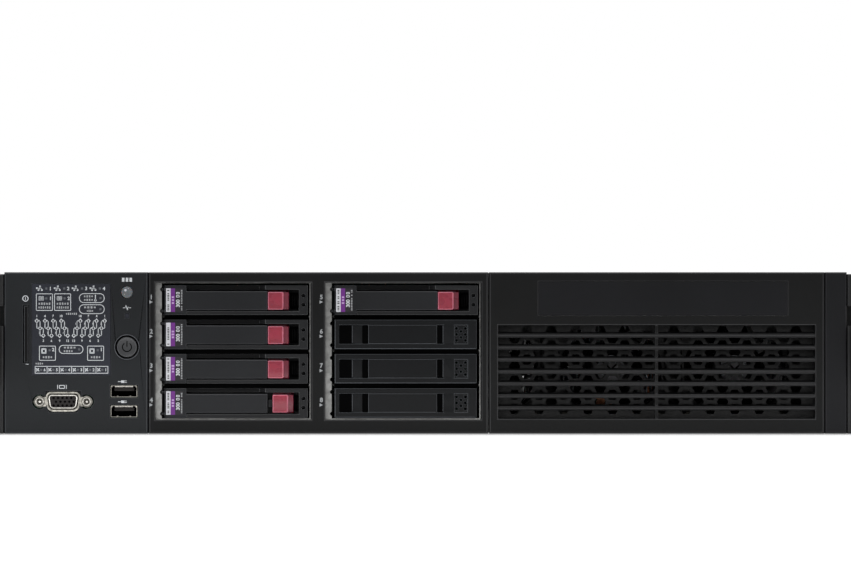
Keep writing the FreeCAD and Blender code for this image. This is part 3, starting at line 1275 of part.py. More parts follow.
def fan_rotor(index):
    """Hub, stub shaft and pitched blades."""
    place = fan_places()[index]
    spider_y = place.y + FAN_DEPTH - FAN_SPIDER
    hub_y = spider_y - FIT - FAN_HUB_DEPTH
    centre = Vec(place.x, hub_y, place.z)
    hub = faceted_rod(centre, FAN_HUB_R, FAN_HUB_DEPTH, sides=FAN_HUB_SIDES)
    shaft = faceted_rod(Vec(place.x, spider_y - 2 * FIT, place.z), FAN_SHAFT_R, FAN_SPIDER + FIT)
    tip_r = FAN_BORE_R - FAN_BLADE_TIP
    lead = FAN_HUB_DEPTH * FAN_BLADE_SHARE / 2
    sweep = lead * math.tan(math.radians(FAN_BLADE_PITCH))
    reach = math.sqrt(tip_r ** 2 - (sweep + FAN_BLADE_THICK) ** 2)
    middle = Vec(place.x, hub_y + FAN_HUB_DEPTH / 2, place.z)
    outline = [Vec(middle.x + side * sweep + shift, middle.y + side * lead, middle.z + FAN_HUB_R / 2)
               for side, shift in ((-1, 0), (1, 0), (1, FAN_BLADE_THICK), (-1, FAN_BLADE_THICK))]
    blade = prism(outline, ALONG_Z * (reach - FAN_HUB_R / 2))
    blades = [turned(blade, middle, ALONG_Y, 360 * k / FAN_BLADES) for k in range(FAN_BLADES)]
    return fused(hub, shaft, *blades)


def board_spans():
    """X and Y ranges of the system board."""
    side = TRAY_SIDE - SHEET - BOARD_SIDE_GAP
    return (-side, side), (BOARD_Y, REAR_Y - BOARD_REAR_GAP)


def system_board():
    """L-shaped board that leaves the supplies' corner free, with its chip and sockets."""
    xs, ys = board_spans()
    lower = supply_spans(0)
    notch_x = lower[0][1] + BOARD_SIDE_GAP
    notch_y = lower[1][0] - BOARD_FRONT_GAP
    outline = [(xs[0], ys[0]), (xs[1], ys[0]), (xs[1], ys[1]), (notch_x, ys[1]),
               (notch_x, notch_y), (xs[0], notch_y)]
    board = profile_z(outline, (BOARD_Z, BOARD_TOP))
    chip_y = ys[0] + SINK_FRONT_GAP + SINK_SIZE[1] + CHIP_SINK
    chip = comb((0, chip_y), (CHIP_SINK, CHIP_SINK, CHIP_SINK_HEIGHT),
                CHIP_SINK_BASE, CHIP_SINK_FINS)
    sockets = []
    width, height = MEMORY_SOCKET
    for x in memory_places():
        sockets.append(box(span(x, width), memory_ys(), (BOARD_TOP, BOARD_TOP + height)))
    return [board, chip] + sockets


def comb(centre, size, base, fins):
    """Extruded heatsink: a base with upright fins along Y."""
    left, right = span(centre[0], size[0])
    low, high = BOARD_TOP, BOARD_TOP + size[2]
    pitch = (size[0] - SINK_FIN) / (fins - 1)
    points = [(right, low), (left, low)]
    for k in range(fins):
        x = left + pitch * k
        points += [(x, high), (x + SINK_FIN, high)]
        if k < fins - 1:
            points += [(x + SINK_FIN, low + base), (x + pitch, low + base)]
    points = [p for n, p in enumerate(points) if n == 0 or p != points[n - 1]]
    return profile_y(points, span(centre[1], size[1]))


def heatsinks():
    """Two finned processor heatsinks."""
    _, ys = board_spans()
    y = ys[0] + SINK_FRONT_GAP + SINK_SIZE[1] / 2
    return [comb((x, y), SINK_SIZE, SINK_BASE, SINK_FINS) for x in SINK_CENTRES]


def memory_places():
    """X centres of all memory modules."""
    places = []
    for centre in MEMORY_CENTRES:
        first = centre - MEMORY_PITCH * (MEMORY_COUNT - 1) / 2
        places += [first + MEMORY_PITCH * k for k in range(MEMORY_COUNT)]
    return places


def memory_ys():
    """Y range of the memory modules."""
    _, ys = board_spans()
    return ys[0] + FIT, ys[0] + FIT + MEMORY_LENGTH


def memory_modules():
    """Upright memory modules in their sockets."""
    low = BOARD_TOP + MEMORY_SOCKET[1]
    return [box(span(x, MEMORY_THICK), memory_ys(), (low, low + MEMORY_HEIGHT))
            for x in memory_places()]


# ================================================================ risers, ports, supplies
def riser_cages():
    """Two folded riser cages, each with its riser card and three slot covers."""
    pieces = []
    for centre in RISER_CENTRES:
        xs, ys, zs = riser_spans(centre)
        outer = box(xs, ys, zs)
        inner = box((xs[0] + SHEET, xs[1] - SHEET), (ys[0] - OVERCUT, ys[1] - SHEET),
                    (zs[0] - OVERCUT, zs[1] - SHEET))
        cage = outer.cut(inner)
        for slot_zs in slot_spans():
            cage = cage.cut(box((xs[0] + 2 * SHEET, xs[1] - 2 * SHEET),
                                (ys[1] - SHEET, ys[1]), slot_zs))
        card = box((xs[0] + SHEET, xs[0] + SHEET + BOARD), (ys[0], REAR_Y - BOARD_REAR_GAP - FIT),
                   (BOARD_TOP, zs[1] - SHEET))
        pieces += [cage, card]
        for slot_zs in slot_spans():
            pieces.append(slot_cover(xs, ys[1] - SHEET, slot_zs))
    return pieces


def slot_spans():
    """Z ranges of a riser cage's slot openings."""
    _, _, zs = riser_spans(0)
    room = (zs[1] - zs[0] - 2 * SHEET) / SLOTS
    low = zs[0] + SHEET
    return [(low + room * k + SLOT_COVER_GAP / 2, low + room * (k + 1) - SLOT_COVER_GAP / 2)
            for k in range(SLOTS)]


def slot_cover(xs, plate_y, zs):
    """Perforated plate behind one slot opening."""
    plate = box((xs[0] + 2 * SHEET - SLOT_COVER_GAP / 3, xs[1] - 2 * SHEET),
                (plate_y - SHEET, plate_y), (zs[0] - SLOT_COVER_GAP / 3, zs[1] + SLOT_COVER_GAP / 3))
    vents = []
    pitch = (xs[1] - xs[0]) / (SLOT_VENTS + 1)
    for k in range(SLOT_VENTS):
        x = xs[0] + pitch * (k + 1)
        vents.append(box(span(x, pitch / 2), (plate_y - SHEET - OVERCUT, plate_y + OVERCUT),
                         span((zs[0] + zs[1]) / 2, (zs[1] - zs[0]) / 2)))
    return plate.cut(vents)


def rear_ports():
    """Jacks, USB ports and D-sub ports of the rear row."""
    ys = (REAR_Y - BOARD_REAR_GAP, REAR_Y - SHEET / 3)
    pieces = []
    base = BOARD_TOP + FIT / 2
    for x in JACK_CENTRES:
        body = box(span(x, JACK[0] - 2 * FIT), ys, (base, base + JACK[1] - FIT))
        hollow = box(span(x, JACK_OPENING[0]), (ys[1] - JACK_DEPTH, ys[1]),
                     span(base + JACK[1] / 2, JACK_OPENING[1]))
        pieces.append(body.cut(hollow))
    for x in REAR_USB_CENTRES:
        body = box(span(x, JACK[0] - 2 * FIT), ys, (base, base + JACK[1] - FIT))
        hollow = box(span(x, USB_SIZE[0] - 4 * USB_WALL), (ys[1] - JACK_DEPTH, ys[1]),
                     span(base + JACK[1] / 2, USB_SIZE[1]))
        pieces.append(body.cut(hollow))
    for x in (REAR_VGA_X, REAR_SERIAL_X):
        flange = box(span(x, DSUB_REAR[0] - 2 * FIT), ys, (base, base + DSUB_REAR[1] - FIT))
        nose = profile_y(d_outline(x, base + DSUB_REAR[1] / 2, *DSUB_BODY),
                         (ys[1], ys[1] + DSUB_NOSE))
        pieces.append(fused(flange, nose))
    return pieces


def power_supply(level):
    """Sealed supply with an inlet pocket, vents and a fixed loop handle."""
    xs, ys, zs = supply_spans(level)
    centre_x, centre_z = sum(xs) / 2, sum(zs) / 2
    case = box(xs, ys, zs)
    inlet_x = centre_x + INLET_OFFSET
    inlet = box(span(inlet_x, INLET_WIDTH), (ys[1] - INLET_DEPTH, ys[1]),
                span(centre_z, INLET_HEIGHT))
    latch_xs, latch_ys, latch_zs = supply_latch_spans(level)
    latch_room = box((latch_xs[0] - FIT, xs[1] + OVERCUT), (latch_ys[0] - FIT, ys[1] + OVERCUT),
                     (latch_zs[0] - FIT, latch_zs[1] + FIT))
    vents = []
    pitch = HANDLE_SPAN / SUPPLY_VENTS
    for k in range(SUPPLY_VENTS):
        x = centre_x + HANDLE_OFFSET + (k - (SUPPLY_VENTS - 1) / 2) * pitch
        vents.append(box(span(x, pitch / 2), (ys[1] - HANDLE_THICK, ys[1] + OVERCUT),
                         span(centre_z, SUPPLY_HEIGHT / 2)))
    case = case.cut([inlet, latch_room] + vents)
    return fused(case, loop_handle(centre_x + HANDLE_OFFSET, centre_z))


def loop_handle(x, z):
    """Flat bar bent into a loop with rounded corners, standing out to the back."""
    outer = loop_outline(x, HANDLE_SPAN / 2 + HANDLE_THICK, HANDLE_REACH, HANDLE_BEND)
    inner = loop_outline(x, HANDLE_SPAN / 2, HANDLE_REACH - HANDLE_THICK,
                         HANDLE_BEND - HANDLE_THICK)
    loop = Part.Face([outer]).extrude(ALONG_Z * HANDLE_HEIGHT)
    loop = loop.cut(Part.Face([inner]).extrude(ALONG_Z * HANDLE_HEIGHT))
    loop.translate(ALONG_Z * (z - HANDLE_HEIGHT / 2))
    return loop


def loop_outline(x, half, reach, bend):
    """Closed outline of a handle at Z = 0: square at the wall, rounded at the back."""
    wall_y, end_y = REAR_Y - SHEET / 2, REAR_Y + reach
    slant = bend * (1 - math.sqrt(0.5))
    points = [Vec(x - half, wall_y, 0), Vec(x - half, end_y - bend, 0),
              Vec(x - half + slant, end_y - slant, 0), Vec(x - half + bend, end_y, 0),
              Vec(x + half - bend, end_y, 0), Vec(x + half - slant, end_y - slant, 0),
              Vec(x + half, end_y - bend, 0), Vec(x + half, wall_y, 0)]
    return Part.Wire([Part.makeLine(points[0], points[1]),
                      Part.Arc(*points[1:4]).toShape(), Part.makeLine(points[3], points[4]),
                      Part.Arc(*points[4:7]).toShape(), Part.makeLine(points[6], points[7]),
                      Part.makeLine(points[7], points[0])])


def supply_latch_spans(level):
    """X, Y and Z ranges of a supply's release latch."""
    xs, ys, zs = supply_spans(level)
    width, depth, height = LATCH_TAB
    centre_z = sum(zs) / 2
    return ((xs[1] - width - SUPPLY_LATCH_TRAVEL, xs[1] - FIT), (ys[1] - depth, ys[1] + width),
            span(centre_z, height))


def supply_latch(level):
    """Red thumb latch at the supply's inner side: a tongue and a bent thumb plate."""
    xs, ys, zs = supply_latch_spans(level)
    wall = LATCH_WALL
    outline = [(xs[1] - wall, ys[0]), (xs[1], ys[0]), (xs[1], ys[1]),
               (xs[1] - 2 * wall, ys[1]), (xs[1] - 2 * wall, ys[1] - wall),
               (xs[1] - wall, ys[1] - wall)]
    return profile_z(outline, zs)


# ================================================================ output
def main():
    """Build and write every node."""
    os.makedirs("parts", exist_ok=True)
    export("chassis_tray", chassis_tray())
    export("front_cover", front_cover())
    export("drive_cage", drive_cage())
    export("bay_bezel", bay_bezel())
    export("control_bezel", control_bezel())
    export("status_panel", status_panel())
    export("port_shells", port_shells())
    export("port_inserts", port_inserts())
    export("grille_bezel", grille_bezel())
    export("vent_screen", vent_screen())
    export("optical_blank", optical_blank())
    export("end_cap", end_cap())
    export("rack_ears", rack_ears())
    export("system_board", system_board())
    export("heatsinks", heatsinks())
    export("memory_modules", memory_modules())
    export("fan_frames", fan_frames())
    export("small_boards", small_boards())
    export("riser_cages", riser_cages())
    export("rear_ports", rear_ports())
    for bay in range(1, CARRIER_COUNT + 1):
        export(f"carrier_{bay}", carrier(bay))
        export(f"ejector_lever_{bay}", ejector_lever(bay))
        export(f"latch_button_{bay}", latch_button(bay))
        export(f"drive_{bay}", drive(bay))
    for bay in range(CARRIER_COUNT + 1, BAY_ROWS * BAY_COLUMNS + 1):
        export(f"bay_blank_{bay}", bay_blank(bay))
    export("power_button", push_button(button_x(), POWER_Z, POWER_R, POWER_TRAVEL))
    export("id_button", push_button(button_x(), HEIGHT - ID_DROP, ID_R, ID_TRAVEL))
    export("info_tab", info_tab())
    export("ear_lever_left", ear_lever(-1))
    export("ear_lever_right", ear_lever(1))
    for level, name in enumerate(("lower", "upper")):
        export("power_supply_" + name, power_supply(level))
        export("supply_latch_" + name, supply_latch(level))
    export("access_panel", access_panel())
    export("cover_latch", cover_latch())
    for index in range(FANS):
        export(f"fan_rotor_{index + 1}", fan_rotor(index))


if __name__ == "__main__":
    main()
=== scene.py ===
"""Dresses the two-unit rack server: finishes, prints, fasteners, boards, cooling and ports.

Lengths are in millimetres while a piece is modelled and become metres when it is finished.
+X is right and +Y is back as seen from the front, and +Z is up.
"""
import logging
import math
import random
from dataclasses import dataclass
from enum import Enum
from functools import lru_cache
from typing import Iterable, Sequence

import bmesh
import bpy
from mathutils import Matrix, Vector


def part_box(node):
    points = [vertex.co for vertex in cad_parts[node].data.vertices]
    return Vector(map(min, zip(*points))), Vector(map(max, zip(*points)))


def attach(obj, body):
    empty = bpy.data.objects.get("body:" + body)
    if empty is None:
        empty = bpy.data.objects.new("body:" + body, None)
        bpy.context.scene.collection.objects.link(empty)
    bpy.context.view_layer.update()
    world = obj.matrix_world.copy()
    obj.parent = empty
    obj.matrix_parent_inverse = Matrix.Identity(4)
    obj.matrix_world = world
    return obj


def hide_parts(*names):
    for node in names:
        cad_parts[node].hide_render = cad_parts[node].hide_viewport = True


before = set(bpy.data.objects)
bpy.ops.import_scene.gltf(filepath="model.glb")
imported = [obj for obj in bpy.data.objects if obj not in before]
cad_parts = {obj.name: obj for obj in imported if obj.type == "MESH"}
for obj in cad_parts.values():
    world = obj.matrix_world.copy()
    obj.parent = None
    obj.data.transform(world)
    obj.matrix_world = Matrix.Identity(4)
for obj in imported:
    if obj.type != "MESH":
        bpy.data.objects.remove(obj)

LOG = logging.getLogger("rack_server")
MM = 0.001
Pair = tuple[float, float]
Colour = tuple[float, float, float]

CREASE = math.radians(32.0)     # edges sharper than this stay sharp
PRINT_THICK = 0.03              # screen print
FACE_INSET = 0.8                # power button's ring in front of the bezel's face
CARRIER_WIDTH = 76.8            # front of a drive carrier


# ================================================================ where things are
@dataclass(frozen=True)
class Extent:
    """Limits of a node or a region, in millimetres."""

    x0: float
    x1: float
    y0: float
    y1: float
    z0: float
    z1: float

    @property
    def middle(self) -> Vector:
        """Centre of the region."""
        return Vector(((self.x0 + self.x1) / 2, (self.y0 + self.y1) / 2, (self.z0 + self.z1) / 2))

    @property
    def width(self) -> float:
        """Size along X."""
        return self.x1 - self.x0

    @property
    def height(self) -> float:
        """Size along Z."""
        return self.z1 - self.z0


@lru_cache(maxsize=None)
def extent(node: str) -> Extent:
    """Limits of one CAD node at rest.

    Args:
        node: name of the node.

    Returns:
        Its limits in millimetres.
    """
    low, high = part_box(node)
    return Extent(low.x / MM, high.x / MM, low.y / MM, high.y / MM, low.z / MM, high.z / MM)


def bay_extent(bay: int) -> Extent:
    """Limits of what fills a bay evenly: a drive or a blank."""
    return extent(f"drive_{bay}" if bay <= 5 else f"bay_blank_{bay}")


class Facing(Enum):
    """Side that a flat form looks to: its across, up and out directions."""

    FRONT = ((1, 0, 0), (0, 0, 1), (0, -1, 0))
    REAR = ((-1, 0, 0), (0, 0, 1), (0, 1, 0))
    LEFT = ((0, -1, 0), (0, 0, 1), (-1, 0, 0))
    RIGHT = ((0, 1, 0), (0, 0, 1), (1, 0, 0))
    TOP = ((1, 0, 0), (0, 1, 0), (0, 0, 1))

    @property
    def turn(self) -> Matrix:
        """Matrix that takes (across, up, out) to the object's frame."""
        return Matrix(self.value).transposed().to_4x4()


# ================================================================ finishes
class Recipe:
    """Wires the node tree of one finish round a Principled shader."""

    def __init__(self, name: str) -> None:
        """Start a material with its shader and object coordinates."""
        self.material = bpy.data.materials.new(name)
        self.material.use_nodes = True
        self.tree = self.material.node_tree
        self.shader = self.tree.nodes["Principled BSDF"]
        self.place = self.tree.nodes.new("ShaderNodeTexCoord").outputs["Object"]

    def fix(self, **values: object) -> None:
        """Set the shader's own sockets; underscores stand for spaces."""
        for key, value in values.items():
            socket = self.shader.inputs[key.replace("_", " ")]
            socket.default_value = (*value, 1.0) if isinstance(value, tuple) else value

    def link(self, source: bpy.types.NodeSocket, socket: str) -> None:
        """Join a socket to one of the shader's inputs."""
        self.tree.links.new(source, self.shader.inputs[socket])

    def scaled(self, size: float, stretch: Colour = (1.0, 1.0, 1.0)) -> bpy.types.NodeSocket:
        """Object coordinates in which one unit is the given size in millimetres.

        Args:
            size: feature size.
            stretch: how much finer the pattern is along each axis.

        Returns:
            The coordinates' socket.
        """
        node = self.tree.nodes.new("ShaderNodeMapping")
        node.inputs["Scale"].default_value = [s / (size * MM) for s in stretch]
        self.tree.links.new(self.place, node.inputs["Vector"])
        return node.outputs["Vector"]

    def noise(self, size: float, detail: float = 2.0, stretch: Colour = (1.0, 1.0, 1.0)
              ) -> bpy.types.NodeSocket:
        """Soft noise of one feature size in millimetres."""
        node = self.tree.nodes.new("ShaderNodeTexNoise")
        node.inputs["Scale"].default_value = 1.0
        node.inputs["Detail"].default_value = detail
        self.tree.links.new(self.scaled(size, stretch), node.inputs["Vector"])
        return node.outputs["Fac"]

    def cells(self, size: float, output: str = "Distance", stretch: Colour = (1.0, 1.0, 1.0),
              scatter: float = 1.0) -> bpy.types.NodeSocket:
        """Crystal or dot pattern of one cell size in millimetres."""
        node = self.tree.nodes.new("ShaderNodeTexVoronoi")
        node.inputs["Scale"].default_value = 1.0
        node.inputs["Randomness"].default_value = scatter
        self.tree.links.new(self.scaled(size, stretch), node.inputs["Vector"])
        return node.outputs[output]

    def ramp(self, source: bpy.types.NodeSocket, span: Pair, values: Pair) -> bpy.types.NodeSocket:
        """Map a span of the source to a span of values, clamped."""
        node = self.tree.nodes.new("ShaderNodeMapRange")
        self.tree.links.new(source, node.inputs["Value"])
        for socket, value in zip(("From Min", "From Max", "To Min", "To Max"), span + values):
            node.inputs[socket].default_value = value
        return node.outputs["Result"]

    def depth(self, limits: Pair) -> bpy.types.NodeSocket:
        """Zero to one between two places along Y, in millimetres."""
        node = self.tree.nodes.new("ShaderNodeSeparateXYZ")
        self.tree.links.new(self.place, node.inputs["Vector"])
        return self.ramp(node.outputs["Y"], (limits[0] * MM, limits[1] * MM), (0.0, 1.0))

    def blend(self, factor: bpy.types.NodeSocket, first: Colour | bpy.types.NodeSocket,
              second: Colour | bpy.types.NodeSocket) -> bpy.types.NodeSocket:
        """Mix two colours or colour sockets by a factor."""
        node = self.tree.nodes.new("ShaderNodeMix")
        node.data_type = "RGBA"
        self.tree.links.new(factor, node.inputs["Factor"])
        for socket, colour in ((node.inputs[6], first), (node.inputs[7], second)):
            if isinstance(colour, tuple):
                socket.default_value = (*colour, 1.0)
            else:
                self.tree.links.new(colour, socket)
        return node.outputs[2]

    def vary_roughness(self, source: bpy.types.NodeSocket, limits: Pair, middle: float,
                       reach: Pair) -> None:
        """Let the roughness follow a pattern.

        Args:
            source: the pattern.
            limits: span of the pattern that is used.
            middle: roughness that it varies about.
            reach: how far it goes below and above that.
        """
        values = (middle - reach[0], middle + reach[1])
        self.link(self.ramp(source, limits, values), "Roughness")

    def relief(self, height: bpy.types.NodeSocket, depth: float, strength: float = 1.0) -> None:
        """Raise or sink the surface by a pattern, depth in millimetres."""
        node = self.tree.nodes.new("ShaderNodeBump")
        node.inputs["Strength"].default_value = strength
        node.inputs["Distance"].default_value = depth * MM
        self.tree.links.new(height, node.inputs["Height"])
        before = self.shader.inputs["Normal"]
        if before.is_linked:
            self.tree.links.new(before.links[0].from_socket, node.inputs["Normal"])
        self.tree.links.new(node.outputs["Normal"], before)


def tint(colour: Colour, factor: float) -> Colour:
    """The same colour, lighter or darker."""
    return (colour[0] * factor, colour[1] * factor, colour[2] * factor)


@dataclass(frozen=True)
class Moulded:
    """Injection-moulded plastic with a fine texture and uneven gloss from handling."""

    name: str
    colour: Colour
    roughness: float = 0.5
    gloss: float = 0.2
    grain: float = 0.45
    depth: float = 0.02
    contrast: float = 0.3
    coat: float = 0.0

    def material(self) -> bpy.types.Material:
        """Build the finish."""
        recipe = Recipe(self.name)
        recipe.fix(Specular_IOR_Level=self.gloss, Coat_Weight=self.coat, Coat_Roughness=0.12)
        broad = recipe.noise(55.0, 3.0)
        fine = recipe.noise(self.grain, 2.0)
        speck = recipe.ramp(recipe.cells(1.7), (0.0, 0.09), (1.0, 0.0))
        shade = recipe.blend(recipe.ramp(broad, (0.3, 0.7), (0.0, 1.0)),
                             tint(self.colour, 1 - self.contrast),
                             tint(self.colour, 1 + self.contrast))
        grainy = recipe.blend(recipe.ramp(fine, (0.35, 0.7), (0.0, 0.35)), shade,
                              tint(self.colour, 1.6))
        recipe.link(recipe.blend(recipe.ramp(speck, (0.5, 1.0), (0.0, 0.12)), grainy,
                                 tint(self.colour, 2.2)), "Base Color")
        recipe.vary_roughness(broad, (0.25, 0.75), self.roughness, (0.07, 0.09))
        recipe.relief(fine, self.depth)
        return recipe.material


@dataclass(frozen=True)
class Galvanised:
    """Zinc-plated sheet: faint spangle, rolling streaks and dull patches, with painted shade behind
    a given depth along Y if one is given.
    """

    name: str
    colour: Colour
    roughness: float = 0.42
    spangle: float = 5.0
    streak: Colour = (0.08, 1.0, 1.0)
    contrast: float = 0.28
    dark_from: Pair | None = None

    def material(self) -> bpy.types.Material:
        """Build the finish."""
        recipe = Recipe(self.name)
        recipe.fix(Metallic=1.0)
        crystals = recipe.cells(self.spangle, "Color")
        patches = recipe.noise(70.0, 4.0)
        lines = recipe.noise(0.5, 2.0, self.streak)
        base = recipe.blend(recipe.ramp(crystals, (0.2, 0.8), (0.0, 1.0)),
                            tint(self.colour, 0.86), tint(self.colour, 1.12))
        marks = recipe.noise(3.2, 3.0)
        base = recipe.blend(recipe.ramp(marks, (0.40, 0.66), (0.0, self.contrast)), base,
                            tint(self.colour, 0.45))
        mottled = recipe.blend(recipe.ramp(patches, (0.35, 0.75), (0.0, 0.3)), base,
                               tint(self.colour, 0.80))
        # Painted shade: behind the given depth the colour falls to a tenth, where the cage lies in
        # shadow.
        if self.dark_from is not None:
            mottled = recipe.blend(recipe.depth(self.dark_from), mottled, tint(self.colour, 0.10))
        recipe.link(mottled, "Base Color")
        recipe.vary_roughness(patches, (0.3, 0.7), self.roughness, (0.09, 0.12))
        recipe.relief(lines, 0.006)
        recipe.relief(recipe.cells(self.spangle), 0.01)
        return recipe.material


@dataclass(frozen=True)
class Coated:
    """Powder-coated sheet with an orange-peel skin."""

    name: str
    colour: Colour
    roughness: float = 0.55

    def material(self) -> bpy.types.Material:
        """Build the finish."""
        recipe = Recipe(self.name)
        recipe.fix(Specular_IOR_Level=0.25)
        peel = recipe.noise(0.9, 3.0)
        broad = recipe.noise(40.0, 3.0)
        recipe.link(recipe.blend(recipe.ramp(broad, (0.3, 0.7), (0.0, 1.0)),
                                 tint(self.colour, 0.75), tint(self.colour, 1.3)), "Base Color")
        recipe.vary_roughness(peel, (0.3, 0.7), self.roughness, (0.1, 0.1))
        recipe.relief(peel, 0.05)
        return recipe.material


@dataclass(frozen=True)
class Plated:
    """Bright plated or machined metal with fine lines and faint tarnish."""

    name: str
    colour: Colour
    roughness: float = 0.22
    line: float = 0.12
    stretch: Colour = (1.0, 0.1, 1.0)
    tarnish: float = 0.6
    patch: float = 6.0

    def material(self) -> bpy.types.Material:
        """Build the finish."""
        recipe = Recipe(self.name)
        recipe.fix(Metallic=1.0)
        stain = recipe.noise(self.patch, 4.0)
        lines = recipe.noise(self.line, 2.0, self.stretch)
        recipe.link(recipe.blend(recipe.ramp(stain, (0.38, 0.68), (0.0, self.tarnish)), self.colour,
                                 tint(self.colour, 0.35)), "Base Color")
        recipe.vary_roughness(stain, (0.3, 0.7), self.roughness, (0.06, 0.1))
        recipe.relief(lines, 0.004)
        return recipe.material


@dataclass(frozen=True)
class Laminate:
    """Circuit board: solder mask over copper tracks, with plated holes."""

    name: str
    colour: Colour = (0.008, 0.062, 0.030)
    plating: Colour = (0.55, 0.42, 0.16)
    track: float = 1.1

    def material(self) -> bpy.types.Material:
        """Build the finish."""
        recipe = Recipe(self.name)
        recipe.fix(Specular_IOR_Level=0.5)
        area = recipe.noise(14.0, 1.0)
        along = recipe.noise(self.track, 0.0, (1.0, 0.04, 0.04))
        across = recipe.noise(self.track, 0.0, (0.04, 1.0, 0.04))
        first = recipe.ramp(along, (0.5, 0.53), (0.0, 1.0))
        second = recipe.ramp(across, (0.5, 0.53), (0.0, 1.0))
        tracks = recipe.blend(first, self.colour, tint(self.colour, 1.75))
        tracks = recipe.blend(recipe.ramp(second, (0.0, 1.0), (0.0, 0.6)), tracks,
                              tint(self.colour, 1.5))
        holes = recipe.cells(3.1)
        rings = recipe.blend(recipe.ramp(holes, (0.10, 0.12), (1.0, 0.0)), tracks, self.plating)
        recipe.link(rings, "Base Color")
        recipe.link(recipe.ramp(area, (0.3, 0.7), (0.28, 0.42)), "Roughness")
        recipe.relief(along, 0.02)
        return recipe.material


@dataclass(frozen=True)
class Ink:
    """Screen print or label stock: an even colour with a slight tooth."""

    name: str
    colour: Colour
    roughness: float = 0.5

    def material(self) -> bpy.types.Material:
        """Build the finish."""
        recipe = Recipe(self.name)
        recipe.fix(Specular_IOR_Level=0.25)
        tooth = recipe.noise(0.3, 2.0)
        wear = recipe.noise(5.0, 4.0)
        recipe.link(recipe.blend(recipe.ramp(wear, (0.45, 0.8), (0.0, 0.5)), self.colour,
                                 tint(self.colour, 0.78)), "Base Color")
        recipe.vary_roughness(tooth, (0.3, 0.7), self.roughness, (0.06, 0.06))
        recipe.relief(tooth, 0.004)
        return recipe.material


@dataclass(frozen=True)
class Tinted:
    """Clear-tinted plastic with a little light inside and soft flow marks."""

    name: str
    colour: Colour
    roughness: float = 0.28
    inner: float = 0.25

    def material(self) -> bpy.types.Material:
        """Build the finish."""
        recipe = Recipe(self.name)
        recipe.fix(Specular_IOR_Level=0.25, Subsurface_Weight=self.inner, Coat_Weight=0.1,
                   Coat_Roughness=0.08, Subsurface_Scale=0.001)
        flow = recipe.noise(7.0, 2.0, (1.0, 1.0, 1.6))
        fine = recipe.noise(0.3, 2.0)
        recipe.link(recipe.blend(recipe.ramp(flow, (0.35, 0.7), (0.0, 1.0)),
                                 tint(self.colour, 0.88), tint(self.colour, 1.12)), "Base Color")
        recipe.vary_roughness(flow, (0.3, 0.7), self.roughness, (0.08, 0.08))
        recipe.relief(fine, 0.006)
        return recipe.material


@lru_cache(maxsize=None)
def dressed(finish: object) -> bpy.types.Material:
    """The material of a finish, built once."""
    return finish.material()


# Painted highlights: the lighter copy that follows each plastic below is painted on rounded edges,
# ribs and rims to stand for light caught there.
BEZEL = Moulded("bezel_plastic", (0.0044, 0.0045, 0.0046), 0.52, 0.10)
BEZEL_HIGHLIGHT = Moulded("bezel_plastic_painted_highlight", (0.022, 0.022, 0.023), 0.4, 0.2)
TRIM = Moulded("trim_plastic", (0.0044, 0.0045, 0.0054), 0.5, 0.12)
TRIM_HIGHLIGHT = Moulded("trim_plastic_painted_highlight", (0.020, 0.020, 0.022), 0.4, 0.2)
PANEL = Moulded("panel_plastic", (0.0080, 0.0091, 0.0103), 0.5, 0.15)
PANEL_HIGHLIGHT = Moulded("panel_plastic_painted_highlight", (0.024, 0.026, 0.030), 0.4, 0.3)
OVERLAY = Moulded("overlay_film", (0.0125, 0.0140, 0.0200), 0.42, 0.2, 0.8, 0.006)
CARRIER = Moulded("carrier_plastic", (0.0078, 0.0081, 0.0088), 0.48, 0.14)
CARRIER_HIGHLIGHT = Moulded("carrier_plastic_painted_highlight", (0.060, 0.061, 0.063), 0.38, 0.3)
LEVER = Moulded("lever_plastic", (0.0082, 0.0087, 0.0100), 0.46, 0.15)
LEVER_HIGHLIGHT = Moulded("lever_plastic_painted_highlight", (0.045, 0.046, 0.050), 0.38, 0.3)
# Painted shade: this darker black stands for the info tab in its slot, the rail over the lever and
# the bars in its pocket.
SHADED = Moulded("shaded_plastic", (0.0035, 0.0036, 0.0040), 0.5, 0.08)
BLANK = Moulded("blank_plastic", (0.0034, 0.0038, 0.0044), 0.44, 0.10)
BLANK_HIGHLIGHT = Moulded("blank_plastic_painted_highlight", (0.030, 0.033, 0.037), 0.38, 0.25)
FAN_PLASTIC = Moulded("fan_plastic", (0.0075, 0.0075, 0.0082), 0.42, 0.3, 0.9)
NYLON = Moulded("connector_nylon", (0.015, 0.015, 0.016), 0.5, 0.3, 0.8)
PALE_NYLON = Moulded("pale_nylon", (0.55, 0.53, 0.47), 0.5, 0.3, 0.8)
BLUE_NYLON = Moulded("blue_nylon", (0.03, 0.09, 0.30), 0.45, 0.35, 0.8)
CHIP_RESIN = Moulded("chip_resin", (0.018, 0.018, 0.020), 0.4, 0.35, 0.35, 0.012)
BUTTON_CAP = Moulded("button_cap", (0.019, 0.020, 0.022), 0.3, 0.3, 0.4, 0.004, 0.2, 0.2)
STEEL = Galvanised("zinc_sheet", (0.26, 0.262, 0.257), 0.40, 3.0, (0.08, 1.0, 1.0), 0.10)
# Painted highlight: this lighter zinc is painted on the rounded edges of the sheet parts.
STEEL_HIGHLIGHT = Galvanised("zinc_sheet_painted_highlight", (0.40, 0.40, 0.392), 0.34, 3.0, (0.08, 1.0, 1.0), 0.06)
# Painted shade: the cage sheet darkens behind its front face.
STRIP_STEEL = Galvanised("zinc_cage", (0.19, 0.19, 0.185), 0.46, 2.2, (1.0, 1.0, 0.1), 0.5,
                         (-336.6, -335.9))
COVER_STEEL = Galvanised("zinc_cover", (0.265, 0.268, 0.262), 0.40, 3.0, (1.0, 0.05, 1.0), 0.08)
BLACK_COAT = Coated("black_powder_coat", (0.0062, 0.0062, 0.0065))
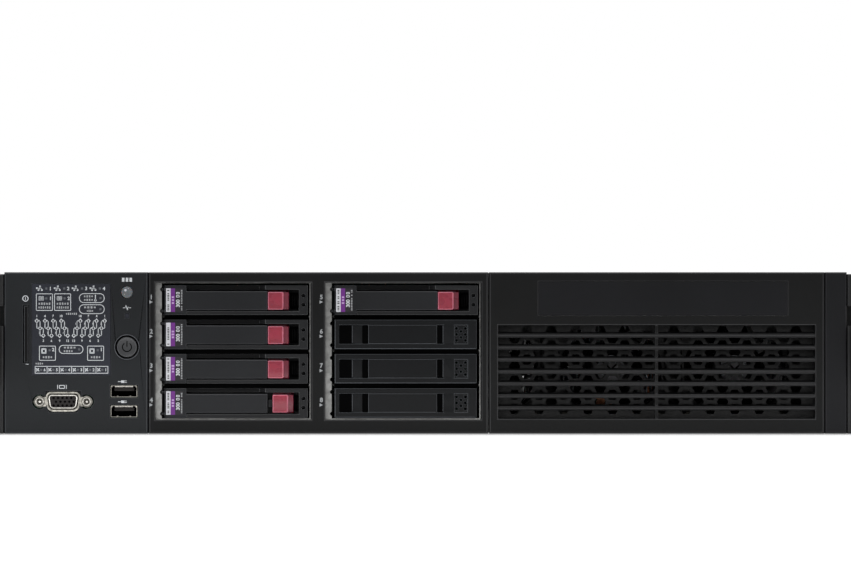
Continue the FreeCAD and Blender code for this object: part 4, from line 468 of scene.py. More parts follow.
# Painted shade: a darker black for the screens that sit behind the vents.
SCREEN_SHADE = Coated("screen_coat_painted_shade", (0.0028, 0.0028, 0.0030))
EAR_COAT = Coated("ear_black_coat", (0.0034, 0.0034, 0.0036))
NICKEL = Plated("nickel_plate", (0.25, 0.240, 0.215), 0.24, 0.12, (1.0, 0.1, 1.0), 0.85, 1.8)
# Painted highlight and painted shade: a lit and a shaded copy of the nickel for rims, springs,
# threads, flange rings and screws in shade.
NICKEL_HIGHLIGHT = Plated("nickel_painted_highlight", (0.50, 0.485, 0.45), 0.2, 0.12, (1.0, 0.1, 1.0), 0.6, 1.4)
NICKEL_SHADE = Plated("nickel_painted_shade", (0.085, 0.080, 0.070), 0.3, 0.12, (1.0, 0.1, 1.0), 0.6, 1.6)
GOLD = Plated("contact_gold", (0.80, 0.58, 0.22), 0.25)
COPPER = Plated("heat_pipe_copper", (0.72, 0.34, 0.20), 0.3)
SCREW = Plated("screw_zinc", (0.50, 0.50, 0.48), 0.3)
FIN = Plated("fin_aluminium", (0.66, 0.67, 0.68), 0.33, 0.3, (1.0, 1.0, 0.06))
DRIVE_METAL = Plated("drive_casting", (0.42, 0.43, 0.45), 0.42, 0.6, (1.0, 0.2, 1.0))
CASE_STEEL = Galvanised("supply_case", (0.31, 0.31, 0.302), 0.38, 2.6, (1.0, 0.06, 1.0), 0.08)
BOARD = Laminate("board_green")
WHITE_INK = Ink("white_print", (0.52, 0.54, 0.56))
PALE_INK = Ink("pale_print", (0.30, 0.31, 0.32))
LILAC_INK = Ink("lilac_print", (0.42, 0.27, 0.50))
# This grey also paints highlights: on the power button's lip, round the drive lamps and on the
# finder button.
GREY_PRINT_AND_HIGHLIGHT = Ink("grey_print_and_painted_highlight", (0.085, 0.090, 0.100))
DARK_INK = Ink("dark_print", (0.006, 0.006, 0.007))
# This white also paints highlight spots on the finder button.
WHITE_LABEL_AND_HIGHLIGHT = Ink("label_white_and_painted_highlight", (0.52, 0.52, 0.55))
LABEL_PURPLE = Ink("label_purple", (0.120, 0.019, 0.178))
LABEL_DARK = Ink("label_dark", (0.010, 0.009, 0.011))
BURGUNDY = Tinted("latch_burgundy", (0.236, 0.021, 0.041))
# Painted highlight and painted shade: a lighter burgundy for latch edges, ribs and the step line,
# and a darker one for steps, feet and handles in shade.
BURGUNDY_HIGHLIGHT = Tinted("latch_burgundy_painted_highlight", (0.46, 0.13, 0.18), 0.22)
BURGUNDY_SHADE = Tinted("latch_burgundy_shade", (0.125, 0.012, 0.026), 0.34)
FROSTED = Tinted("frosted_button", (0.115, 0.120, 0.128), 0.34, 0.4)
LENS = Tinted("lamp_lens", (0.006, 0.007, 0.007), 0.2, 0.0)
PORT_NYLON = Moulded("port_nylon", (0.0135, 0.0120, 0.0118), 0.5, 0.15, 0.8)
GREEN_LENS = Tinted("green_lens", (0.05, 0.22, 0.08), 0.15, 0.3)
AMBER_LENS = Tinted("amber_lens", (0.40, 0.20, 0.03), 0.15, 0.3)
# Painted shade: near black for gaps, holes, recesses and pockets; it also prints the power button's
# standby symbol.
SHADE_AND_SYMBOL_BLACK = Moulded("painted_shade_and_symbol_black", (0.0016, 0.0016, 0.0017), 0.9, 0.0)
# Painted highlight for the thin rims on the bay blanks.
BLANK_RIM_HIGHLIGHT = Moulded("blank_rim_painted_highlight", (0.050, 0.054, 0.060), 0.4, 0.2)
# Painted shade: a much darker zinc for the drive cage's rounded edges.
CAGE_EDGE_SHADE = Galvanised("zinc_cage_edge_painted_shade", (0.048, 0.048, 0.047), 0.46, 2.2, (1.0, 1.0, 0.1), 0.3)
BORE_SHADE = Ink("shadowed_bore", (0.022, 0.013, 0.009), 0.6)


# ================================================================ modelling
def round_off(part: bmesh.types.BMesh, geom: Sequence[object], radius: float, segments: int,
              affect: str = "EDGES") -> None:
    """Round some edges or corners of a part."""
    bmesh.ops.bevel(part, geom=geom, offset=radius, offset_type="OFFSET", segments=segments,
                    profile=0.5, affect=affect, material=-1, clamp_overlap=True)


class Form:
    """Faces modelled with bmesh operators as (across, up, out), in millimetres."""

    def __init__(self) -> None:
        """Start empty."""
        self.mesh = bmesh.new()

    def take(self, part: bmesh.types.BMesh, paint: int, highlight_faces: Sequence[int] = (),
             rim: int = 0) -> None:
        """Add a part in one paint, its rounded-edge faces in another for a painted highlight, and
        release it.
        """
        for face in part.faces:
            face.material_index = paint
        part.faces.ensure_lookup_table()
        for index in highlight_faces:
            part.faces[index].material_index = rim
        scratch = bpy.data.meshes.new("scratch")
        part.to_mesh(scratch)
        part.free()
        self.mesh.from_mesh(scratch)
        bpy.data.meshes.remove(scratch)

    def join(self, other: "Form", place: Matrix | None = None) -> None:
        """Add another form, moved by a matrix, and keep its paints."""
        scratch = bpy.data.meshes.new("scratch")
        other.mesh.to_mesh(scratch)
        if place is not None:
            scratch.transform(place)
        self.mesh.from_mesh(scratch)
        bpy.data.meshes.remove(scratch)

    def block(self, across: Pair, up: Pair, out: Pair, edge: float = 0.0, paint: int = 0,
              turn: float = 0.0, segments: int = 2, rim: int | None = None) -> None:
        """Add a block, with rounded edges if edge is given.

        Args:
            across: limits along the across direction.
            up: limits along the up direction.
            out: limits along the out direction.
            edge: radius of its edges.
            paint: index of its finish.
            turn: degrees that it is turned by about its own out axis.
            segments: faces across each rounded edge.
            rim: index of the finish of the rounded edges, or none for the same.
        """
        part = bmesh.new()
        bmesh.ops.create_cube(part, size=1.0)
        size = [high - low for low, high in (across, up, out)]
        bmesh.ops.scale(part, vec=size, verts=part.verts)
        if edge:
            round_off(part, part.edges[:], edge, segments)
        part.faces.index_update()
        part.normal_update()
        highlight_faces = [f.index for f in part.faces if max(abs(c) for c in f.normal) < 0.97]
        if turn:
            matrix = Matrix.Rotation(math.radians(turn), 3, "Z")
            bmesh.ops.rotate(part, cent=(0, 0, 0), matrix=matrix, verts=part.verts)
        middle = [(low + high) / 2 for low, high in (across, up, out)]
        bmesh.ops.translate(part, vec=middle, verts=part.verts)
        self.take(part, paint, highlight_faces if rim is not None else (), rim or 0)

    def turned(self, centre: Pair, profile: Sequence[Pair], steps: int = 24,
               paint: int = 0) -> None:
        """Spin a (radius, out) profile about an out axis.

        Args:
            centre: (across, up) of the axis.
            profile: points from one end to the other.
            steps: faces round the axis.
            paint: index of its finish.
        """
        part = bmesh.new()
        points = [part.verts.new((radius, 0.0, out)) for radius, out in profile]
        edges = [part.edges.new(pair) for pair in zip(points, points[1:])]
        bmesh.ops.spin(part, geom=points + edges, cent=(0, 0, 0), axis=(0, 0, 1), dvec=(0, 0, 0),
                       angle=math.tau, steps=steps, use_merge=True, use_duplicate=False)
        bmesh.ops.remove_doubles(part, verts=part.verts[:], dist=1e-4)
        bmesh.ops.recalc_face_normals(part, faces=part.faces[:])
        bmesh.ops.translate(part, vec=(*centre, 0.0), verts=part.verts)
        self.take(part, paint)

    def disc(self, centre: Pair, radius: float, out: Pair, edge: float = 0.0, paint: int = 0,
             steps: int = 24, hole: float = 0.0) -> None:
        """Add a round plate, or a ring where a hole is given, with a rounded outer edge."""
        low, high = out
        rim = [(radius, low), (radius, high - edge), (radius - edge * 0.3, high - edge * 0.3),
               (radius - edge, high)] if edge else [(radius, low), (radius, high)]
        if hole:
            profile = [(hole, low)] + rim + [(hole, high), (hole, low)]
        else:
            profile = [(0.0, low)] + rim + [(0.0, high)]
        self.turned(centre, profile, steps, paint)

    def plate(self, outline: Iterable[Pair], out: Pair, corner: float = 0.0, edge: float = 0.0,
              paint: int = 0, wall: float = 0.0, segments: int = 4) -> None:
        """Extrude a closed outline, or only a rim of it where a wall is given.

        Args:
            outline: (across, up) corners, anticlockwise.
            out: limits along the out direction; equal limits give a bare face.
            corner: radius of the outline's corners.
            edge: rounding of the outer edge of its front.
            paint: index of its finish.
            wall: width of the rim that is kept.
            segments: faces round each corner.
        """
        part = bmesh.new()
        face = part.faces.new([part.verts.new((u, v, out[0])) for u, v in outline])
        if corner:
            round_off(part, part.verts[:], corner, segments, "VERTICES")
            face = part.faces[:][0]
        if wall:
            bmesh.ops.inset_region(part, faces=[face], thickness=wall, use_even_offset=True,
                                   use_boundary=True)
            bmesh.ops.delete(part, geom=[face], context="FACES")
        if out[1] != out[0]:
            grown = bmesh.ops.extrude_face_region(part, geom=part.faces[:])["geom"]
            moved = [item for item in grown if isinstance(item, bmesh.types.BMVert)]
            bmesh.ops.translate(part, vec=(0, 0, out[1] - out[0]), verts=moved)
            bmesh.ops.recalc_face_normals(part, faces=part.faces[:])
            if edge:
                lip = [e for e in part.edges if all(abs(v.co.z - out[1]) < 1e-5 for v in e.verts)
                       and e.calc_face_angle(0.0) > 0.7]
                round_off(part, lip, edge, 2)
        self.take(part, paint)

    def brick(self, centre: Pair, size: Pair, out: Pair, edge: float = 0.0, paint: int = 0,
              turn: float = 0.0, segments: int = 2, rim: int | None = None) -> None:
        """Add a block about a centre; the other values are as for a block."""
        self.block(span(centre[0], size[0]), span(centre[1], size[1]), out, edge, paint, turn,
                   segments, rim)

    def panel(self, centre: Pair, size: Pair, out: Pair, corner: float = 0.0, edge: float = 0.0,
              paint: int = 0, wall: float = 0.0, segments: int = 4) -> None:
        """Add an upright oblong plate about a centre; the rest is as for a plate."""
        outline = self.box_outline(span(centre[0], size[0]), span(centre[1], size[1]))
        self.plate(outline, out, corner, edge, paint, wall, segments)

    def box_outline(self, across: Pair, up: Pair) -> list[Pair]:
        """Corners of an upright box outline."""
        return [(across[0], up[0]), (across[1], up[0]), (across[1], up[1]), (across[0], up[1])]

    def stroke(self, points: Sequence[Pair], width: float, out: float, paint: int = 0) -> None:
        """Draw a thin line of flat bars through some points."""
        for start, end in zip(points, points[1:]):
            length = math.dist(start, end)
            angle = math.degrees(math.atan2(end[1] - start[1], end[0] - start[0]))
            middle = ((start[0] + end[0]) / 2, (start[1] + end[1]) / 2)
            self.brick(middle, (length + width * 0.8, width),
                       (out - PRINT_THICK, out), paint=paint, turn=angle)

    def digits(self, text: str, centre: Pair, height: float, out: float, paint: int = 0,
               turn: float = 0.0) -> None:
        """Print plain digits.

        Args:
            text: the digits.
            centre: (across, up) of their middle.
            height: height of a digit.
            out: where their face lies.
            paint: index of their finish.
            turn: degrees anticlockwise.
        """
        part = bmesh.new()
        part.from_mesh(digit_mesh(text))
        bmesh.ops.scale(part, vec=(height, height, 1.0), verts=part.verts)
        bmesh.ops.rotate(part, cent=(0, 0, 0), matrix=Matrix.Rotation(math.radians(turn), 3, "Z"),
                         verts=part.verts)
        bmesh.ops.translate(part, vec=(*centre, out), verts=part.verts)
        self.take(part, paint)


@lru_cache(maxsize=None)
def digit_mesh(text: str) -> bpy.types.Mesh:
    """Flat mesh of some digits, one unit high and centred on the origin."""
    curve = bpy.data.curves.new("digits", "FONT")
    curve.body = text
    curve.resolution_u = 3
    curve.offset = 0.03
    holder = bpy.data.objects.new("digits", curve)
    bpy.context.scene.collection.objects.link(holder)
    bpy.context.view_layer.update()
    drawn = holder.evaluated_get(bpy.context.evaluated_depsgraph_get())
    mesh = bpy.data.meshes.new_from_object(drawn)
    xs = [v.co.x for v in mesh.vertices]
    ys = [v.co.y for v in mesh.vertices]
    size = max(ys) - min(ys)
    shift = Matrix.Translation((-(min(xs) + max(xs)) / 2, -(min(ys) + max(ys)) / 2, 0))
    mesh.transform(Matrix.Scale(1 / size, 4) @ shift)
    bpy.data.objects.remove(holder)
    return mesh


def span(centre: float, size: float) -> Pair:
    """(low, high) pair about a centre."""
    return centre - size / 2, centre + size / 2


def row(first: float, pitch: float, count: int) -> list[float]:
    """Evenly spaced values."""
    return [first + pitch * k for k in range(count)]


def finish_piece(form: Form, name: str, body: str, finishes: Sequence[object],
                 facing: Facing = Facing.TOP, replaces: Sequence[str] = ()) -> bpy.types.Object:
    """Turn a form into a finished piece that rides on a body.

    Args:
        form: the modelled faces, which are released.
        name: the piece's name.
        body: CAD body that it moves with.
        finishes: one finish for each paint.
        facing: side that it looks to.
        replaces: CAD nodes that it stands for.

    Returns:
        The finished object.
    """
    for face in form.mesh.faces:
        face.smooth = True
    for edge in form.mesh.edges:
        edge.smooth = edge.calc_face_angle(0.0) < CREASE
    mesh = bpy.data.meshes.new(name)
    form.mesh.to_mesh(mesh)
    form.mesh.free()
    mesh.transform(Matrix.Scale(MM, 4) @ facing.turn)
    for finish in finishes:
        mesh.materials.append(dressed(finish))
    piece = bpy.data.objects.new(name, mesh)
    bpy.context.scene.collection.objects.link(piece)
    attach(piece, body)
    if replaces:
        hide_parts(*replaces)
    LOG.info("%s on %s: %d faces", name, body, len(mesh.polygons))
    return piece


# ================================================================ the CAD nodes' finishes
@dataclass(frozen=True)
class Dress:
    """Finish of a CAD node, that of its rounded edges, and their width; the edge finish is mostly a
    lighter copy for a painted highlight, on the drive cage a darker one for painted shade.
    """

    finish: object
    edge: object | None = None
    width: float = 0.25


@lru_cache(maxsize=None)
def smoothing_group() -> bpy.types.NodeTree:
    """Node group that shades gentle curves smooth and keeps creases sharp."""
    group = bpy.data.node_groups.new("smooth_curves", "GeometryNodeTree")
    group.interface.new_socket("Geometry", in_out="INPUT", socket_type="NodeSocketGeometry")
    group.interface.new_socket("Geometry", in_out="OUTPUT", socket_type="NodeSocketGeometry")
    start = group.nodes.new("NodeGroupInput")
    end = group.nodes.new("NodeGroupOutput")
    faces = group.nodes.new("GeometryNodeSetShadeSmooth")
    faces.domain = "FACE"
    edges = group.nodes.new("GeometryNodeSetShadeSmooth")
    edges.domain = "EDGE"
    edges.inputs["Shade Smooth"].default_value = False
    angle = group.nodes.new("GeometryNodeInputMeshEdgeAngle")
    test = group.nodes.new("FunctionNodeCompare")
    test.data_type = "FLOAT"
    test.operation = "GREATER_THAN"
    test.inputs[1].default_value = CREASE
    group.links.new(start.outputs[0], faces.inputs["Geometry"])
    group.links.new(faces.outputs[0], edges.inputs["Geometry"])
    group.links.new(angle.outputs["Unsigned Angle"], test.inputs[0])
    group.links.new(test.outputs[0], edges.inputs["Selection"])
    group.links.new(edges.outputs[0], end.inputs[0])
    return group


class NodeDresser:
    """Gives every CAD node its finish, merged faces and rounded edges, most of them painted as
    highlights.
    """

    PLAIN = {
        "chassis_tray": Dress(STEEL, STEEL_HIGHLIGHT, 0.15),
        "front_cover": Dress(COVER_STEEL, STEEL_HIGHLIGHT, 0.25),
        "access_panel": Dress(COVER_STEEL, STEEL_HIGHLIGHT, 0.25),
        "drive_cage": Dress(STRIP_STEEL, CAGE_EDGE_SHADE, 0.25),
        "bay_bezel": Dress(BEZEL, BEZEL_HIGHLIGHT, 0.3),
        "control_bezel": Dress(PANEL, PANEL_HIGHLIGHT, 0.2),
        "status_panel": Dress(OVERLAY, OVERLAY, 0.08),
        "port_shells": Dress(NICKEL),
        "port_inserts": Dress(NYLON),
        "grille_bezel": Dress(BEZEL, BEZEL_HIGHLIGHT, 0.25),
        "vent_screen": Dress(SCREEN_SHADE),
        "optical_blank": Dress(TRIM, TRIM_HIGHLIGHT, 0.2),
        "end_cap": Dress(TRIM, TRIM_HIGHLIGHT, 0.2),
        "rack_ears": Dress(EAR_COAT, BEZEL_HIGHLIGHT, 0.2),
        "system_board": Dress(BOARD),
        "heatsinks": Dress(FIN),
        "memory_modules": Dress(BOARD),
        "fan_frames": Dress(FAN_PLASTIC, FAN_PLASTIC, 0.3),
        "small_boards": Dress(BOARD),
        "riser_cages": Dress(STEEL, STEEL_HIGHLIGHT, 0.1),
        "rear_ports": Dress(NYLON, NYLON, 0.15),
        "power_button": Dress(BUTTON_CAP, BUTTON_CAP, 0.3),
        "id_button": Dress(FROSTED, FROSTED, 0.3),
        "info_tab": Dress(SHADED, LEVER_HIGHLIGHT, 0.3),
        "cover_latch": Dress(BURGUNDY, BURGUNDY_HIGHLIGHT, 0.4),
    }
    SERIES = {
        "carrier_": Dress(CARRIER, CARRIER_HIGHLIGHT, 0.12),
        "ejector_lever_": Dress(LEVER, LEVER_HIGHLIGHT, 0.12),
        "latch_button_": Dress(BURGUNDY, BURGUNDY_HIGHLIGHT, 0.3),
        "drive_": Dress(DRIVE_METAL, SCREW, 0.3),
        "bay_blank_": Dress(BLANK, BLANK_HIGHLIGHT, 0.22),
        "ear_lever_": Dress(BEZEL, BEZEL_HIGHLIGHT, 0.3),
        "power_supply_": Dress(CASE_STEEL, STEEL_HIGHLIGHT, 0.3),
        "supply_latch_": Dress(BURGUNDY, BURGUNDY_HIGHLIGHT, 0.3),
        "fan_rotor_": Dress(FAN_PLASTIC),
    }
    MERGE = 0.002       # millimetres between corners that are one
    SHARP = 38.0        # degrees from which an edge is rounded

    def choose(self, node: str) -> Dress:
        """The dress of one node."""
        if node in self.PLAIN:
            return self.PLAIN[node]
        return next(dress for prefix, dress in self.SERIES.items() if node.startswith(prefix))

    def dress(self, node: str, holder: bpy.types.Object) -> None:
        """Give one node its materials and modifiers."""
        choice = self.choose(node)
        holder.data.materials.clear()
        holder.data.materials.append(dressed(choice.finish))
        weld = holder.modifiers.new("merge", "WELD")
        weld.merge_threshold = self.MERGE * MM
        smooth = holder.modifiers.new("shade", "NODES")
        smooth.node_group = smoothing_group()
        if choice.edge is not None:
            holder.data.materials.append(dressed(choice.edge))
            bevel = holder.modifiers.new("edges", "BEVEL")
            bevel.width = choice.width * MM
            bevel.segments = 2
            bevel.limit_method = "ANGLE"
            bevel.angle_limit = math.radians(self.SHARP)
            bevel.use_clamp_overlap = False
            bevel.harden_normals = True
            # The rounded edges take the second finish: mostly a painted highlight, on the drive
            # cage painted shade.
            bevel.material = 1

    def build(self) -> None:
        """Dress every node."""
        for node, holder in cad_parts.items():
            self.dress(node, holder)
        LOG.info("%d nodes dressed", len(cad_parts))


# ================================================================ prints on the front
@dataclass
class StatusPrint:
    """White symbols, digits and lamp windows of the status panel."""

    line: float = 0.36
    thin: float = 0.34
    corner: float = 0.55
    digit: float = 1.9
    lamp: float = 1.15
    unit_pitch: float = 9.5
    link_down: float = 2.65
    link_nodes: Sequence[Pair] = ((-1.8, 0.15), (-0.9, -0.85), (0.9, -0.85), (-0.1, 1.1))
    supply_pitch: float = 9.68
    supply_down: float = 7.9
    chain_pitch: float = 4.33
    chain_step: float = 1.73
    chain_starts: Sequence[tuple[int, float]] = ((1, 2.75), (-1, 38.87))
    diamond_half: Pair = (1.15, 1.35)
    fan_limits: Pair = (1.7, 40.75)
    fan_down: float = 45.9

    def __post_init__(self) -> None:
        """Take the panel's place from its node."""
        bezel = extent("control_bezel")
        self.left = bezel.x0 + 14.6
        self.top = bezel.z1 - 6.0
        self.out = -extent("status_panel").y0 + 2 * PRINT_THICK
        self.form = Form()

    def at(self, right: float, down: float) -> Pair:
        """Place from the panel's top left corner."""
        return self.left + right, self.top - down

    def panel(self, centre: Pair, size: Pair, corner: float = 0.0, paint: int = 0) -> None:
        """Printed oblong about a centre."""
        self.form.panel(centre, size, (self.out, self.out), corner, paint=paint)

    def line_through(self, points: Sequence[Pair], width: float) -> None:
        """Printed line through some points."""
        self.form.stroke(points, width, self.out)

    def frame_box(self, right: Pair, down: Pair, corner: float, wall: float) -> None:
        """Outlined box with rounded corners.

        Args:
            right: limits from the panel's left side.
            down: limits from the panel's top.
            corner: radius of its corners.
            wall: width of its line.
        """
        low, high = self.at(right[0], down[1]), self.at(right[1], down[0])
        outline = self.form.box_outline((low[0], high[0]), (low[1], high[1]))
        self.form.plate(outline, (self.out, self.out), corner, wall=wall)

    def lamp_window(self, right: float, down: float) -> None:
        """Small dark lamp window."""
        self.panel(self.at(right, down), (self.lamp, self.lamp), 0.15, 1)

    def mark_line(self, right: Pair, down: float, tall: float, count: int) -> None:
        """Row of small bars where the real panel has a word."""
        pitch = (right[1] - right[0]) / count
        for k in range(count):
            height = tall * (1.0 if k % 3 else 0.75)
            self.panel(self.at(right[0] + pitch * (k + 0.5), down), (pitch * 0.62, height),
                       paint=2)

    def number(self, value: int, right: float, down: float, tall: float | None = None) -> None:
        """Plain number."""
        self.form.digits(str(value), self.at(right, down), tall or self.digit, self.out)

    def link_row(self) -> None:
        """Four link symbols with their lamps and numbers."""
        for k in range(4):
            right = 4.55 + self.unit_pitch * k
            across, up = self.at(right, self.link_down)
            for shift, lift in self.link_nodes:
                self.panel((across + shift, up + lift), (0.85, 0.85))
            self.line_through([(across - 1.5, up + 0.12), (across + 0.5, up + 0.12),
                               (across + 0.9, up - 0.5)], self.thin)
            self.line_through([(across - 0.1, up + 0.9), (across - 0.1, up + 0.1),
                               (across - 0.7, up - 0.6)], self.thin)
            self.lamp_window(right + 3.25, self.link_down)
            self.number(k + 1, right + 5.4, self.link_down)

    def supply_boxes(self) -> None:
        """Two supply boxes: hatched symbol, lamp, number and two lines of marks."""
        for k in range(2):
            left = 2.3 + self.supply_pitch * k
            self.frame_box((left, left + 8.95), (5.3, 14.5), self.corner, self.line)
            for step in range(4):
                across, up = self.at(left + 2.8, 6.95 + 0.62 * step)
                self.line_through([(across - 1.25, up), (across + 1.25, up)], 0.3)
            for shift in (-1.25, 0.0, 1.25):
                across, up = self.at(left + 2.8 + shift, self.supply_down)
                self.line_through([(across, up - 1.0), (across, up + 1.0)], 0.26)
            self.lamp_window(left + 5.5, self.supply_down)
            self.number(k + 1, left + 7.7, self.supply_down)
            for down, count in ((10.75, 5), (12.75, 6)):
                self.mark_line((left + 1.1, left + 7.9), down, 1.25, count)

    def pills(self) -> None:
        """Three rounded lozenges with two lines of marks and a lamp."""
        for right, down, first, second in (((25.2, 38.8), (5.2, 10.35), (2.4, 7.6), (2.4, 7.6)),
                                           ((25.2, 38.8), (11.1, 16.2), (2.4, 9.2), (4.0, 7.6)),
                                           ((14.45, 27.5), (32.7, 37.4), (2.4, 9.2), (2.4, 7.6))):
            middle = sum(down) / 2
            self.frame_box(right, down, (down[1] - down[0]) * 0.48, self.line)
            for limits, shift in ((first, -0.95), (second, 0.95)):
                self.mark_line((right[0] + limits[0], right[0] + limits[1]), middle + shift,
                               1.15, 4)
            self.lamp_window(right[1] - 2.2, middle)
            if first == second:
                across, up = self.at(right[1] - 4.9, middle)
                self.line_through([(across, up - 1.3), (across, up + 1.6)], 0.5)
                self.panel((across, up - 1.2), (1.3, 1.3), 0.6)

    def memory_map(self) -> None:
        """Two groups of four staggered chains of diamonds, numbered one to twelve."""
        for side, first in self.chain_starts:
            for k in range(4):
                start = first + side * self.chain_pitch * k
                places = [(start + side * self.chain_step * n, 19.9 + 3.9 * n)
                          for n in range(3)]
                for upper, lower in zip(places, places[1:]):
                    self.chain_link(upper, lower, side)
                for right, down in places:
                    self.diamond(right, down)
                middle = places[1]
                self.number(1 + 3 * k, places[0][0], 17.3, 1.3)
                self.number(2 + 3 * k, middle[0] - 0.3, middle[1] + side * 2.4, 1.0)
                self.number(3 + 3 * k, places[2][0], 30.45, 1.3)
        self.mark_line((18.1, 24.3), 16.1, 1.1, 6)

    def diamond(self, right: float, down: float) -> None:
        """Outlined diamond with a dark middle."""
        across, up = self.at(right, down)
        wide, tall = self.diamond_half
        for scale, paint, lift in ((1.0, 0, 0.0), (0.52, 3, 0.02)):
            self.form.plate([(across, up - tall * scale), (across + wide * scale, up),
                             (across, up + tall * scale), (across - wide * scale, up)],
                            (self.out + lift, self.out + lift), paint=paint)

    def chain_link(self, upper: Pair, lower: Pair, side: int) -> None:
        """Two upright lines from one diamond to the next."""
        for start, end, sign in ((upper, lower, 1), (lower, upper, -1)):
            bend = 0.1 if sign > 0 else 0.3
            self.line_through([self.at(start[0], start[1] + sign * 0.9),
                               self.at(start[0], end[1] - sign * bend),
                               self.at(start[0] + sign * side * 0.7, end[1] + sign * bend)], 0.4)

    def processor_boxes(self) -> None:
        """Two processor boxes: ringed square, lamp, number and marks."""
        for k, left in ((1, 29.55), (2, 3.95)):
            self.frame_box((left, left + 8.9), (33.1, 41.05), self.corner, self.line)
            self.frame_box((left + 1.2, left + 3.9), (34.5, 37.3), 0.3, 0.75)
            self.lamp_window(left + 5.6, 35.5)
            self.number(k, left + 7.5, 35.1)
            self.mark_line((left + 1.7, left + 7.2), 39.2, 1.2, 4)

    def fan_row(self) -> None:
        """Six fan cells: pinwheel, lamp and number, counted down to the right."""
        left, right = self.fan_limits
        cell = (right - left) / 6
        self.frame_box((left, right), (43.9, 47.9), 0.2, self.line)
        for k in range(6):
            start = left + cell * k
            if k:
                self.line_through([self.at(start, 44.0), self.at(start, 47.8)], self.line)
            self.pinwheel(*self.at(start + 1.45, self.fan_down))
            self.lamp_window(start + 3.35, self.fan_down)
            self.number(6 - k, start + 5.2, self.fan_down, 1.6)
        self.mark_line((1.9, 6.2), 42.6, 1.0, 4)

    def pinwheel(self, across: float, up: float) -> None:
        """Four slanted bars round a centre."""
        for turn in (0, 90, 180, 270):
            angle = math.radians(45 + turn)
            place = (across + 0.62 * math.cos(angle), up + 0.62 * math.sin(angle))
            self.form.brick(place, (1.0, 0.5), (self.out - PRINT_THICK, self.out), turn=turn + 70)

    def build(self) -> None:
        """Print the whole panel."""
        self.link_row()
        self.supply_boxes()
        self.pills()
        self.memory_map()
        self.processor_boxes()
        self.fan_row()
        finish_piece(self.form, "status_print", "chassis",
                     (WHITE_INK, GREY_PRINT_AND_HIGHLIGHT, PALE_INK, LABEL_DARK), Facing.FRONT)


@dataclass
class ControlMarks:
    """Symbols printed on the control bezel."""

    line: float = 0.34
    pulse_drop: float = 18.9
    card_mark: Pair = (11.3, 14.0)
    monitor_mark: Pair = (30.7, 24.9)
    plug_inset: float = 13.2
    plug_lifts: Pair = (27.7, 17.0)
    heading_drop: float = 4.0
    dash: Pair = (11.5, 12.8)
    dash_lift: float = 37.0
    heartbeat: Sequence[Pair] = ((-2.0, 0.0), (-0.9, 0.0), (-0.5, 1.4), (0.2, -1.3), (0.6, 0.5),
                                 (0.9, 0.0), (2.0, 0.0))

    def __post_init__(self) -> None:
        """Take the printing plane from the bezel."""
        self.bezel = extent("control_bezel")
        self.out = -self.bezel.y0 - FACE_INSET + 2 * PRINT_THICK
        self.form = Form()

    def bar(self, centre: Pair, size: Pair) -> None:
        """Printed bar."""
        self.form.brick(centre, size, (self.out - PRINT_THICK, self.out))

    def build(self) -> None:
        """Print the symbols beside the controls and ports."""
        left, right, top = self.bezel.x0, self.bezel.x1, self.bezel.z1
        column = extent("power_button").middle.x
        self.form.stroke([(column + u, top - self.pulse_drop + v) for u, v in self.heartbeat],
                         self.line, self.out)
        self.card(left + self.card_mark[0], top - self.card_mark[1])
        self.monitor(left + self.monitor_mark[0], self.monitor_mark[1])
        for lift in self.plug_lifts:
            self.plug(right - self.plug_inset, lift)
        for k in (-1, 0, 1):
            self.bar((column + k * 2.0, top - self.heading_drop), (1.35, 2.1))
        self.form.stroke([(left + u, self.dash_lift) for u in self.dash], 0.3, self.out)
        finish_piece(self.form, "control_marks", "chassis", (WHITE_INK,),
                     Facing.FRONT)

    def card(self, across: float, up: float) -> None:
        """Ring with an upright bar, over the pull-out card."""
        self.form.turned((across, up), [(1.2, self.out), (1.65, self.out)], 24)
        self.bar((across, up), (0.4, 1.5))

    def monitor(self, across: float, up: float) -> None:
        """Screen outline between two upright bars."""
        self.form.panel((across, up), (3.1, 2.0), (self.out, self.out), 0.5, wall=0.4)
        for side in (-1, 1):
            self.bar((across + side * 2.3, up), (0.35, 2.2))

    def plug(self, across: float, up: float) -> None:
        """Small plug symbol: a body, two prongs and a lead."""
        self.bar((across - 0.2, up), (1.6, 1.3))
        for side in (-1, 1):
            self.bar((across + 1.3, up + side * 0.4), (1.3, 0.3))
        self.form.stroke([(across - 2.6, up), (across - 1.0, up)], self.line, self.out)


@dataclass
class BayNumbers:
    """Bay numbers on the bezel, each over a small arrow head."""

    height: float = 2.5
    offset: float = -6.4

    def build(self) -> None:
        """Print numbers one to eight."""
        out = -extent("bay_bezel").y0 + 2 * PRINT_THICK
        form = Form()
        for bay in range(1, 9):
            seat = bay_extent(bay)
            across, up = seat.middle.x - CARRIER_WIDTH / 2 + self.offset, seat.middle.z
            form.digits(str(bay), (across, up + 1.65), self.height, out)
            form.plate([(across - 0.95, up - 0.1), (across - 0.95, up - 1.9),
                        (across + 0.85, up - 1.0)], (out, out))
        finish_piece(form, "bay_numbers", "chassis", (PALE_INK,),
                     Facing.FRONT)


@dataclass
class CageShade:
    """Painted shade over the front edges of the shelves between the bays."""

    shelf: float = 2.5
    thick: float = 0.12
    overhangs: Pair = (0.4, 0.6)

    def build(self) -> None:
        """Model the painted shade between the rows of bays."""
        form = Form()
        out = -extent("drive_cage").y0
        for bay in (1, 2, 3, 5, 6, 7):
            seat, below = bay_extent(bay), bay_extent(bay + 1)
            left = seat.middle.x - CARRIER_WIDTH / 2
            across = (left + self.overhangs[0], left + CARRIER_WIDTH + self.overhangs[1])
            up = span((seat.middle.z + below.middle.z) / 2, self.shelf)
            form.plate(form.box_outline(across, up), (out, out + self.thick))
        finish_piece(form, "shelf_painted_shade", "chassis", (SHADE_AND_SYMBOL_BLACK,), Facing.FRONT)


